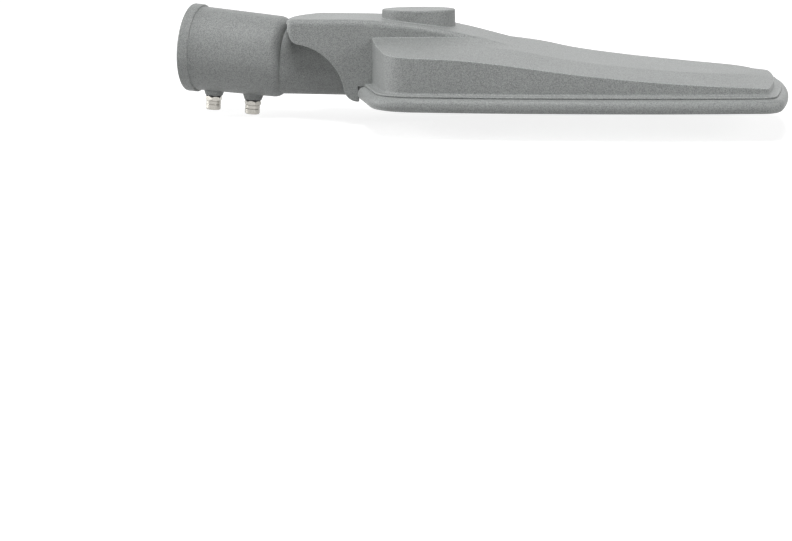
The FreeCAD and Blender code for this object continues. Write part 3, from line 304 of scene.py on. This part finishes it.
@dataclass(frozen=True)
class Metal:
    """Bare or plated metal with the marks of its making."""

    name: str
    colour: Colour
    roughness: float
    lay: Lay
    stain: float = 0.05
    stain_scale: float = 140.0
    rolled: float = 900.0
    turned: float = 2600.0
    spangle: float = 190.0
    depth: float = 0.00002
    relief: float = 0.4

    def material(self) -> bpy.types.Material:
        """Marks drawn out along the rolling direction, fine rings of turning, or zinc spangles.

        Returns:
            The finished material.
        """
        graph = Graph.material(self.name)
        place = graph.place()
        if self.lay is Lay.ROLLED:
            marks = graph.noise(graph.place((0.15, 1.0, 1.0)), self.rolled, 4.0, 0.6)
        elif self.lay is Lay.TURNED:
            marks = graph.noise(graph.place((0.08, 0.08, 1.0)), self.turned, 3.0, 0.6)
        else:
            marks = graph.cells(place, self.spangle)
        stain = graph.spread(graph.noise(place, self.stain_scale), 1.0 - self.stain, 1.0 + self.stain)
        return graph.surface({
            "Base Color": graph.shade(self.colour, graph.spread(marks, 0.88, 1.06) * stain),
            "Metallic": 1.0,
            "Roughness": graph.spread(marks, self.roughness * 0.8, self.roughness * 1.3),
            "Normal": graph.bump(marks, self.depth, self.relief),
        })


@dataclass(frozen=True)
class Moulded:
    """Moulded plastic, rubber or resin with a fine spark-eroded grain."""

    name: str
    colour: Colour
    roughness: float
    grain: float = 2600.0
    cloud: float = 45.0
    depth: float = 0.00002
    relief: float = 0.5

    def material(self) -> bpy.types.Material:
        """Fine grain, with slow tone changes and dull patches.

        Returns:
            The finished material.
        """
        graph = Graph.material(self.name)
        place = graph.place()
        grain = graph.noise(place, self.grain, 2.0)
        cloud = graph.noise(place, self.cloud, 4.0)
        tone = graph.spread(cloud, 0.93, 1.06) * graph.spread(grain, 0.96, 1.04)
        return graph.surface({
            "Base Color": graph.shade(self.colour, tone),
            "Roughness": graph.spread(cloud, self.roughness * 0.9, self.roughness * 1.1),
            "Normal": graph.bump(grain, self.depth, self.relief),
        })


@dataclass(frozen=True)
class Clear:
    """Clear glass or acrylic with a faint film of dust."""

    name: str
    colour: Colour
    ior: float
    roughness: float
    film: float = 40.0

    def material(self) -> bpy.types.Material:
        """Full transmission whose roughness rises where the film is thicker.

        Returns:
            The finished material.
        """
        graph = Graph.material(self.name)
        film = graph.noise(graph.place(), self.film, 5.0, 0.6)
        return graph.surface({
            "Base Color": graph.shade(self.colour, graph.spread(film, 0.97, 1.0)),
            "Roughness": graph.spread(film, self.roughness, self.roughness * 2.5),
            "IOR": self.ior,
            "Transmission Weight": 1.0,
        })


@dataclass(frozen=True)
class LedGrid:
    """Places of the LED packages, for the patterns on the boards and packages."""

    first_x: float = 321.0
    pitch_x: float = 19.0
    columns: int = 7
    board_y: float = 21.0
    pitch_y: float = 17.5
    rows: int = 2

    def offsets(self, graph: Graph) -> tuple[Socket, Socket]:
        """Distances along X and Y from the nearest package, in metres.

        Args:
            graph: the material that asks.

        Returns:
            The two distances.
        """
        x, y, _ = graph.axes(graph.place())
        across = (x - self.first_x * MM).join("PINGPONG", self.pitch_x / 2 * MM)
        inner = self.board_y - self.pitch_y / 2
        along = (y.join("ABSOLUTE") - inner * MM).join("PINGPONG", self.pitch_y / 2 * MM)
        return across, along

    def centres(self) -> np.ndarray:
        """Plan positions of all packages in millimetres, one row each.

        Returns:
            The positions.
        """
        x = self.first_x + np.arange(self.columns) * self.pitch_x
        row = (np.arange(self.rows) - (self.rows - 1) / 2) * self.pitch_y
        y = (np.array([[1.0], [-1.0]]) * self.board_y + row).ravel()
        return np.stack(np.meshgrid(x, y, indexing="ij"), axis=-1).reshape(-1, 2)


@dataclass(frozen=True)
class BoardFinish:
    """White solder mask over copper, with tinned pads beside each package."""

    grid: LedGrid
    mask: Colour = (0.76, 0.77, 0.76)
    over_copper: Colour = (0.7, 0.69, 0.64)
    tin: Colour = (0.55, 0.55, 0.54)
    track: float = 2.6
    pad_start: float = 2.7
    pad_end: float = 3.7
    pad_half: float = 1.5
    cloud: float = 300.0
    roughness: float = 0.42
    pad_gloss: float = 0.1
    depth: float = 0.00004
    relief: float = 0.6

    def material(self) -> bpy.types.Material:
        """Tracks run from package to package along X and stand up a little; the pads are bare metal.

        Returns:
            The finished material.
        """
        graph = Graph.material("white_board")
        across, along = self.grid.offsets(graph)
        track = along < self.track * MM
        pad = (across > self.pad_start * MM) * (across < self.pad_end * MM) * (along < self.pad_half * MM)
        cloud = graph.spread(graph.noise(graph.place(), self.cloud), 0.97, 1.03)
        colour = graph.mix(pad, graph.mix(track, self.mask, self.over_copper), self.tin)
        return graph.surface({
            "Base Color": graph.shade(colour, cloud),
            "Metallic": pad,
            "Roughness": self.roughness - pad * self.pad_gloss,
            "Normal": graph.bump(track + pad, self.depth, self.relief),
        })


@dataclass(frozen=True)
class PackageFinish:
    """White ceramic package with a round phosphor window."""

    grid: LedGrid
    ceramic: Colour = (0.8, 0.8, 0.77)
    phosphor: Colour = (0.84, 0.6, 0.1)
    window: float = 2.0
    cloud: float = 900.0
    roughness: float = 0.5
    window_gloss: float = 0.25
    depth: float = 0.0001
    relief: float = 0.5

    def material(self) -> bpy.types.Material:
        """The window is where the squared distance from the package's middle is under its squared radius.

        Returns:
            The finished material.
        """
        graph = Graph.material("led_package")
        across, along = self.grid.offsets(graph)
        window = across * across + along * along < (self.window * MM) ** 2
        cloud = graph.spread(graph.noise(graph.place(), self.cloud), 0.95, 1.04)
        return graph.surface({
            "Base Color": graph.shade(graph.mix(window, self.ceramic, self.phosphor), cloud),
            "Roughness": self.roughness - window * self.window_gloss,
            "Normal": graph.bump(window, self.depth, self.relief),
        })


class Finishes:
    """Every finish of the lamp, made once."""

    def __init__(self) -> None:
        """Build the materials."""
        grid = LedGrid()
        # The housing's coat has a painted highlight along its edges and inner corners.
        self.shell_coat_painted_highlight = PowderCoat("grey_coat_shell_painted_highlight", 1.2 * MM, 1.3 * MM).material()
        self.coat = PowderCoat("grey_coat", 0.3 * MM).material()
        self.nickel = Metal("bright_plating", (0.45, 0.435, 0.4), 0.3, Lay.TURNED, 0.06).material()
        self.zinc = Metal("bolt_zinc", (0.7, 0.69, 0.66), 0.32, Lay.TURNED).material()
        self.stainless = Metal("stainless", (0.58, 0.57, 0.56), 0.3, Lay.TURNED).material()
        self.sheet = Metal("rolled_aluminium", (0.78, 0.79, 0.8), 0.36, Lay.ROLLED).material()
        self.galvanised = Metal("galvanised_sheet", (0.62, 0.63, 0.64), 0.42, Lay.SPANGLED, 0.08).material()
        self.black_rubber = Moulded("black_rubber", (0.025, 0.025, 0.026), 0.72).material()
        self.silicone = Moulded("grey_silicone", (0.11, 0.112, 0.115), 0.62).material()
        self.nylon = Moulded("black_nylon", (0.03, 0.03, 0.032), 0.5).material()
        self.case = Moulded("driver_case", (0.66, 0.66, 0.64), 0.48).material()
        self.terminal = Moulded("terminal_plastic", (0.42, 0.43, 0.43), 0.5).material()
        self.surge = Moulded("surge_case", (0.03, 0.05, 0.11), 0.4).material()
        self.board = BoardFinish(grid).material()
        self.package = PackageFinish(grid).material()
        self.glass = Clear("tempered_glass", (0.93, 0.98, 0.96), 1.5, 0.012).material()
        self.acrylic = Clear("clear_acrylic", (0.97, 0.98, 0.98), 1.49, 0.03).material()


def dress(node: str, material: bpy.types.Material) -> None:
    """Give a solid of the frame its material.

    Args:
        node: the solid's name.
        material: the finish that covers all of it.
    """
    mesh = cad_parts[node].data
    mesh.materials.clear()
    mesh.materials.append(material)
    log.info("dressed %s with %s", node, material.name)


def grid_faces(rows: int, columns: int, wrap_rows: bool = False, wrap_columns: bool = False) -> np.ndarray:
    """Quads between the neighbouring points of a grid.

    Args:
        rows: points down the grid.
        columns: points across it.
        wrap_rows: joins the last row to the first.
        wrap_columns: joins the last column to the first.

    Returns:
        Point numbers, four to a row.
    """
    row = np.arange(rows if wrap_rows else rows - 1)[:, None]
    column = np.arange(columns if wrap_columns else columns - 1)[None, :]
    below, beside = (row + 1) % rows, (column + 1) % columns
    corners = (row * columns + column, row * columns + beside,
               below * columns + beside, below * columns + column)
    return np.stack(np.broadcast_arrays(*corners), axis=-1).reshape(-1, 4)


def add_piece(name: str, points: np.ndarray, faces: np.ndarray, material: bpy.types.Material,
              replaced: tuple[str, ...] = (), sharp: float = 35.0) -> None:
    """Put a new closed piece into the scene.

    Args:
        name: the piece's name.
        points: places in millimetres, three to a row.
        faces: point numbers, four to a row.
        material: its finish.
        replaced: the solids that it stands for.
        sharp: edges that bend by more than this many degrees stay sharp.
    """
    mesh = bpy.data.meshes.new(name)
    mesh.from_pydata((points.reshape(-1, 3) * MM).tolist(), [], faces.tolist())
    shell = bmesh.new()
    shell.from_mesh(mesh)
    bmesh.ops.remove_doubles(shell, verts=shell.verts, dist=MERGE_DISTANCE)
    bmesh.ops.recalc_face_normals(shell, faces=shell.faces)
    shell.to_mesh(mesh)
    shell.free()
    mesh.shade_smooth()
    mesh.set_sharp_from_angle(angle=math.radians(sharp))
    mesh.materials.append(material)
    piece = bpy.data.objects.new(name, mesh)
    bpy.context.scene.collection.objects.link(piece)
    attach(piece, "root")
    if replaced:
        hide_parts(*replaced)
    log.info("made %s with %d faces", name, len(mesh.polygons))


def hexagon(angles: np.ndarray, across_flats: float, corner: float) -> np.ndarray:
    """Radius of a hexagon: half its width over the cosine of the angle from the nearest flat.

    Args:
        angles: where the radius is wanted.
        across_flats: the width of the hexagon.
        corner: the angle of one of its corners.

    Returns:
        One radius for each angle.
    """
    sixth = math.pi / 3
    from_flat = (angles - corner) % sixth - sixth / 2
    return across_flats / 2 / np.cos(from_flat)


@dataclass
class Castings:
    """The three coated castings: housing, frame and pole spigot."""

    def build(self, finishes: Finishes) -> None:
        """Coat the castings.

        Args:
            finishes: the lamp's finishes.
        """
        # The housing gets the coat with painted highlights on its edges and inner corners.
        dress("top_housing", finishes.shell_coat_painted_highlight)
        dress("bottom_frame", finishes.coat)
        dress("pole_spigot", finishes.coat)


@dataclass
class ClampHardware:
    """Screws, lock nuts and black rubber rings under the pole socket, at distances down from its axis. The
    ring at the second screw is a seal; the one at the first is a dark piece put where there is shade, a
    painted shade.
    """

    tilt: float = 5.1
    places: tuple[float, ...] = (22.5, 58.5)
    corners: tuple[float, ...] = (-85.0, -55.5)
    face: float = 39.5
    ring_height: float = 1.0
    ring_radius: float = 6.9
    ring_bulge: float = 0.3
    ring_play: float = 0.2
    ring_points: int = 9
    nut_height: float = 3.8
    nut_width: float = 13.0
    nut_chamfer: float = 1.1
    nut_points: int = 8
    bore_flare: float = 0.5
    bore_play: float = 0.05
    bore_thread: float = 0.2
    bore_points: int = 24
    thread: float = 8.0
    thread_pitch: float = 1.25
    thread_depth: float = 0.45
    head: float = 13.0
    head_height: float = 8.0
    head_chamfer: float = 1.2
    seat_chamfer: float = 0.3
    round_points: int = 6
    side_points: int = 60
    thread_points: int = 90
    groove_at: float = 3.2
    groove_half: float = 0.35
    groove_depth: float = 0.3
    key: float = 6.0
    key_depth: float = 4.4
    key_chamfer: float = 0.3
    key_cone: float = 0.8
    shank: float = 12.8
    shank_chamfer: float = 0.8
    columns: int = 72

    def build(self, finishes: Finishes) -> None:
        """Make the black rings (a seal at the second screw, painted shade at the first), the nuts and the
        screws, each kind as one piece.

        Args:
            finishes: the lamp's finishes.
        """
        # Black rings between boss and nut: a seal at the second screw, painted shade at the first.
        self._add("clamp_seal_and_shade_rings", self._ring, finishes.black_rubber, "black_rubber")
        self._add("clamp_lock_nuts", self._nut, finishes.nickel, "zinc_steel", "clamp_nuts")
        self._add("clamp_head_screws", self._screw, finishes.nickel, "zinc_steel", "clamp_screws")

    def _add(self, name: str, shape: Any, material: bpy.types.Material, slot: str, *replaced: str) -> None:
        """Make one piece from the copies of a shape at the two places.

        Args:
            name: the piece's name.
            shape: the method that makes the shape for a corner's angle.
            material: its finish.
            slot: the record's material slot; not used.
            replaced: the solids that it stands for.
        """
        points, faces, count = [], [], 0
        for place, corner in zip(self.places, self.corners):
            down, radii, angles, closed = shape(math.radians(corner))
            points.append(self._points(place, down, radii, angles))
            faces.append(count + grid_faces(*radii.shape, wrap_rows=closed, wrap_columns=True))
            count += radii.size
        add_piece(name, np.concatenate(points), np.concatenate(faces), material, replaced)

    def _points(self, along: float, down: np.ndarray, radii: np.ndarray, angles: np.ndarray) -> np.ndarray:
        """Points at a distance down from the socket's axis and at a radius round the screw's own axis.

        Args:
            along: the screw's distance from the socket's mouth.
            down: the stations.
            radii: the radius at each station and angle.
            angles: the angles.

        Returns:
            Points, three to a row.
        """
        tilt = math.radians(self.tilt)
        axis = np.array([math.cos(tilt), 0.0, -math.sin(tilt)])
        beside = np.array([0.0, 1.0, 0.0])
        below = np.array([-math.sin(tilt), 0.0, -math.cos(tilt)])
        round_x, round_y = radii * np.cos(angles), radii * np.sin(angles)
        points = (along * axis + round_x[..., None] * axis + round_y[..., None] * beside
                  + down[:, None, None] * below)
        return points.reshape(-1, 3)

    def _angles(self, corner: float) -> np.ndarray:
        """Evenly spaced angles that start at a corner."""
        return corner + np.arange(self.columns) * 2 * math.pi / self.columns

    def _ring(self, corner: float) -> tuple[np.ndarray, np.ndarray, np.ndarray, bool]:
        """Black ring, a seal at the second screw and painted shade at the first: a flat washer whose rim is
        half an ellipse.

        Args:
            corner: the angle of a corner.

        Returns:
            Stations, radii, angles, and whether the last station joins the first.
        """
        turn = np.linspace(0.0, math.pi, self.ring_points)
        down = np.concatenate([(1 - np.cos(turn)) / 2 * self.ring_height, [self.ring_height, 0.0]])
        rim = self.ring_radius - self.ring_bulge * (1 - np.sin(turn))
        radii = np.concatenate([rim, [self.thread / 2 + self.ring_play] * 2])
        return self.face + down, radii[:, None] * np.ones(self.columns), self._angles(corner), True

    def _nut(self, corner: float) -> tuple[np.ndarray, np.ndarray, np.ndarray, bool]:
        """Nut: the lesser of a hexagon and two cones at 45 degrees outside, a threaded bore inside.

        Args:
            corner: the angle of a corner.

        Returns:
            Stations, radii, angles, and whether the last station joins the first.
        """
        angles = self._angles(corner)
        height, chamfer = self.nut_height, self.nut_chamfer
        rise = np.concatenate([np.linspace(0.0, chamfer, self.nut_points),
                               np.linspace(height - chamfer, height, self.nut_points)])
        cone = self.nut_width / 2 + np.minimum(rise, height - rise)
        outer = np.minimum(hexagon(angles, self.nut_width, corner)[None, :], cone[:, None])
        bore = np.linspace(height, 0.0, self.bore_points)
        flare = np.maximum(self.bore_flare - np.minimum(bore, height - bore), 0.0)
        ridge = self._ridge(bore, angles) * self.bore_thread
        inner = self.thread / 2 + self.bore_play + flare[:, None] + ridge
        top = self.face + self.ring_height
        return top + np.concatenate([rise, bore]), np.concatenate([outer, inner]), angles, True

    def _ridge(self, down: np.ndarray, angles: np.ndarray) -> np.ndarray:
        """Thread form from 0 at the crest to 1 at the root: a triangle wave that climbs one pitch a turn."""
        turn = (down[:, None] / self.thread_pitch - angles[None, :] / (2 * math.pi)) % 1.0
        return np.abs(2 * turn - 1.0)

    def _screw(self, corner: float) -> tuple[np.ndarray, np.ndarray, np.ndarray, bool]:
        """Screw: key hole, face, chamfer, side with a groove, and a threaded shank that ends in a cone.

        Args:
            corner: the angle of a corner.

        Returns:
            Stations, radii, angles, and whether the last station joins the first.
        """
        angles = self._angles(corner)
        top = self.face + self.ring_height + self.nut_height
        end, tip = top + self.head_height, top - self.shank
        radius, chamfer = self.head / 2, self.head_chamfer
        key = hexagon(angles, self.key, corner)
        ring = np.ones(self.columns)
        round_end = np.linspace(0.0, math.pi / 2, self.round_points)
        side = np.linspace(end - chamfer, top + self.seat_chamfer, self.side_points)
        groove = np.clip(1.0 - np.abs(side - top - self.groove_at) / self.groove_half, 0.0, 1.0)
        thread = np.linspace(top, tip + self.shank_chamfer, self.thread_points)
        hole = [end - self.key_depth - self.key_cone, end - self.key_depth, end - self.key_chamfer, end]
        rounded = end - chamfer * (1 - np.cos(round_end))
        stations = np.concatenate([hole, rounded, side, [top], thread, [tip, tip]])
        radii = np.vstack([
            [0.0 * ring, key, key, key + self.key_chamfer],
            (radius - chamfer * (1 - np.sin(round_end)))[:, None] * ring,
            (radius - self.groove_depth * groove)[:, None] * ring,
            [(radius - self.seat_chamfer) * ring],
            self.thread / 2 - self.thread_depth * self._ridge(thread, angles),
            [(self.thread / 2 - self.shank_chamfer) * ring, 0.0 * ring],
        ])
        return stations, radii, angles, False


@dataclass
class Fasteners:
    """The remaining screws, bolts and clips."""

    bright: tuple[str, ...] = ("frame_screws", "clip_screws", "board_screws", "plate_screws", "tray_screws",
                               "driver_screws", "terminal_screws", "glass_clips")

    def build(self, finishes: Finishes) -> None:
        """Give zinc to the neck bolts and plain steel to the rest.

        Args:
            finishes: the lamp's finishes.
        """
        dress("neck_bolts", finishes.zinc)
        for node in self.bright:
            dress(node, finishes.stainless)


@dataclass
class LightEngine:
    """Pane, lenses, boards and the plate behind them."""

    rear: float = 308.0
    length: float = 140.0
    width: float = 36.0
    corner: float = 2.0
    lens_base: float = -24.2
    board_bottom: float = -21.8
    lens_radius: float = 7.0
    lens_height: float = 4.2
    lens_sharp: float = 50.0
    crown: float = 2.6
    fullness: float = 0.75
    pocket_half: float = 2.9
    pocket_depth: float = 1.3
    columns: int = 201
    rows: int = 53

    def build(self, finishes: Finishes) -> None:
        """Dress the optical solids and put smooth lenses in place of the plain ones.

        Args:
            finishes: the lamp's finishes.
        """
        dress("glass", finishes.glass)
        dress("led_boards", finishes.board)
        dress("led_chips", finishes.package)
        dress("mounting_plate", finishes.sheet)
        grid = LedGrid()
        sheets = [self._plate(side * grid.board_y, grid.centres()) for side in (1, -1)]
        quads = self._faces()
        points = np.concatenate(sheets)
        faces = np.concatenate([quads, quads + len(sheets[0])])
        add_piece("lens_plates", points, faces, finishes.acrylic, ("lens_arrays",),
                  self.lens_sharp)

    def _plan(self) -> tuple[np.ndarray, np.ndarray]:
        """Plan grid of a plate about its middle, with each corner square bent into a quarter disc.

        In the corner a point at shares u and v of the radius goes to u times the root of 1 - v squared / 2,
        and v times the root of 1 - u squared / 2.

        Returns:
            Places along X and along Y.
        """
        x = np.linspace(-self.length / 2, self.length / 2, self.columns)
        y = np.linspace(-self.width / 2, self.width / 2, self.rows)
        x, y = np.meshgrid(x, y, indexing="ij")
        inner_x = np.clip(x, self.corner - self.length / 2, self.length / 2 - self.corner)
        inner_y = np.clip(y, self.corner - self.width / 2, self.width / 2 - self.corner)
        u, v = (x - inner_x) / self.corner, (y - inner_y) / self.corner
        return (inner_x + self.corner * u * np.sqrt(1 - v ** 2 / 2),
                inner_y + self.corner * v * np.sqrt(1 - u ** 2 / 2))

    def _plate(self, board_y: float, centres: np.ndarray) -> np.ndarray:
        """Lower and upper face of one plate.

        The lower face hangs down by the height times (1 - (distance / radius) ^ crown) ^ fullness under each
        package; the upper face is flat with a square pocket over each package.

        Args:
            board_y: the plate's middle line.
            centres: places of the packages.

        Returns:
            Points of the lower face, then of the upper.
        """
        x, y = self._plan()
        x = x + self.rear + self.length / 2
        y = y + board_y
        from_x, from_y = x[..., None] - centres[:, 0], y[..., None] - centres[:, 1]
        share = np.clip(np.hypot(from_x, from_y).min(axis=-1) / self.lens_radius, 0.0, 1.0)
        dome = self.lens_height * (1.0 - share ** self.crown) ** self.fullness
        inside = (np.maximum(np.abs(from_x), np.abs(from_y)).min(axis=-1) < self.pocket_half)
        lower = np.stack([x, y, self.lens_base - dome], axis=-1)
        upper = np.stack([x, y, self.board_bottom - self.pocket_depth * inside], axis=-1)
        return np.concatenate([lower.reshape(-1, 3), upper.reshape(-1, 3)])

    def _faces(self) -> np.ndarray:
        """Quads of both faces of a plate and of the band that joins them round the edge.

        Returns:
            Point numbers, four to a row.
        """
        sheet = grid_faces(self.columns, self.rows)
        count = self.columns * self.rows
        numbers = np.arange(count).reshape(self.columns, self.rows)
        rim = np.concatenate([numbers[:, 0], numbers[-1, 1:], numbers[-2::-1, -1], numbers[0, -2:0:-1]])
        following = np.roll(rim, -1)
        band = np.stack([rim, following, following + count, rim + count], axis=-1)
        return np.concatenate([sheet, sheet + count, band])


@dataclass
class Seals:
    """Gaskets, gland and vent."""

    nylon: tuple[str, ...] = ("gland_body", "gland_cap", "gland_locknut", "vent", "vent_nut")

    def build(self, finishes: Finishes) -> None:
        """Dress the seals and nylon parts.

        Args:
            finishes: the lamp's finishes.
        """
        dress("housing_gasket", finishes.silicone)
        dress("glass_gasket", finishes.silicone)
        dress("neck_gasket", finishes.black_rubber)
        dress("gland_seal", finishes.black_rubber)
        for node in self.nylon:
            dress(node, finishes.nylon)


@dataclass
class GearSpace:
    """Tray, driver, terminal block and surge protector."""

    def build(self, finishes: Finishes) -> None:
        """Dress the electrical parts.

        Args:
            finishes: the lamp's finishes.
        """
        dress("gear_tray", finishes.galvanised)
        dress("led_driver", finishes.case)
        dress("terminal_block", finishes.terminal)
        dress("surge_protector", finishes.surge)


@dataclass(frozen=True)
class Lamp:
    """Square area lamp: its place and target in metres, the length of its side and its power in watts."""

    name: str
    place: Point
    target: Point
    size: float
    power: float

    def build(self) -> None:
        """Put the lamp into the scene, facing its target."""
        light = bpy.data.lights.new(self.name, "AREA")
        light.size = self.size
        light.energy = self.power
        place = Vector(self.place)
        turn = (Vector(self.target) - place).to_track_quat("-Z", "Y").to_matrix().to_4x4()
        lamp = bpy.data.objects.new(self.name, light)
        lamp.matrix_world = Matrix.Translation(place) @ turn
        bpy.context.scene.collection.objects.link(lamp)


@dataclass
class Studio:
    """Floor, lamps, surroundings and camera, in metres."""

    floor_size: float = 12.0
    floor_gap: float = 0.002
    floor_bounce: float = 0.6
    floor_white: float = 0.5
    floor_glow: float = 0.84
    shadow_reach: float = 0.55
    white_from: float = 1.3
    surround: float = 0.05
    camera_at: Point = (0.475, -1.258, 0.1102)
    camera_yaw: float = 13.11
    camera_pitch: float = 13.2
    camera_roll: float = -0.43
    camera_lens: float = 68.64
    sensor: float = 36.0
    lamps: tuple[Lamp, ...] = (
        Lamp("overhead", (0.3, -0.7, 1.6), (0.25, 0.0, 0.0), 0.7, 20.2),
        Lamp("back", (0.25, 1.5, 0.8), (0.25, 0.0, 0.0), 1.5, 4.0),
        Lamp("socket_end", (-1.5, -0.1, 0.35), (0.1, 0.0, 0.0), 1.0, 19.5),
        Lamp("tip_end", (1.7, -1.0, 0.5), (0.3, 0.0, 0.0), 0.8, 10.3),
    )

    def build(self) -> None:
        """Make the whole studio."""
        self._floor()
        self._world()
        for lamp in self.lamps:
            lamp.build()
        self._camera()

    def _floor(self) -> None:
        """Plain pale floor under the lamp that shows white to the camera and keeps a soft shadow."""
        half = self.floor_size / 2
        level = cad_bounds[0][2] - self.floor_gap
        mesh = bpy.data.meshes.new("floor")
        corners = [(-half, -half, level), (half, -half, level), (half, half, level), (-half, half, level)]
        mesh.from_pydata(corners, [], [(0, 1, 2, 3)])
        floor = bpy.data.objects.new("floor", mesh)
        bpy.context.scene.collection.objects.link(floor)
        graph = Graph.material("floor")
        plain, lit = (graph.node("ShaderNodeBsdfDiffuse", None, {"Color": (grey, grey, grey, 1.0)})
                      for grey in (self.floor_bounce, self.floor_white))
        distance = graph.node("ShaderNodeVectorMath", {"operation": "LENGTH"}, {0: graph.place()}, "Value")
        strength = graph.spread(distance, self.floor_glow, 1.0, self.shadow_reach, self.white_from)
        glow = graph.node("ShaderNodeEmission", None, {"Strength": strength})
        white = graph.node("ShaderNodeAddShader", None, {0: lit, 1: glow})
        shown = graph.node("ShaderNodeMixShader", None, {0: graph.seen(), 1: plain, 2: white})
        mesh.materials.append(graph.close(shown))

    def _world(self) -> None:
        """Even surroundings: white where they are seen, dimmer where they light the object."""
        world = bpy.data.worlds.new("surroundings")
        bpy.context.scene.world = world
        graph = Graph(world, "ShaderNodeOutputWorld")
        strength = graph.spread(graph.seen(), self.surround, 1.0, 0.0, 1.0)
        inputs = {"Color": (1.0, 1.0, 1.0, 1.0), "Strength": strength}
        graph.close(graph.node("ShaderNodeBackground", None, inputs))

    def _camera(self) -> None:
        """Camera at the photo's place: turned by yaw, tipped down by pitch, rolled about its line of sight."""
        data = bpy.data.cameras.new("camera")
        data.sensor_width = self.sensor
        data.lens = self.camera_lens
        camera = bpy.data.objects.new("camera", data)
        turn = (Matrix.Rotation(math.radians(self.camera_yaw), 4, "Z")
                @ Matrix.Rotation(math.radians(90.0 - self.camera_pitch), 4, "X")
                @ Matrix.Rotation(math.radians(self.camera_roll), 4, "Z"))
        camera.matrix_world = Matrix.Translation(self.camera_at) @ turn
        bpy.context.scene.collection.objects.link(camera)
        bpy.context.scene.camera = camera


def main() -> None:
    """Dress the lamp, set up the studio and report."""
    logging.basicConfig(level=logging.INFO, format="%(message)s")
    bpy.context.scene.view_settings.view_transform = "Standard"
    finishes = Finishes()
    for assembly in (Castings(), ClampHardware(), Fasteners(), LightEngine(), Seals(), GearSpace()):
        assembly.build(finishes)
    Studio().build()


if __name__ == "__main__":
    main()
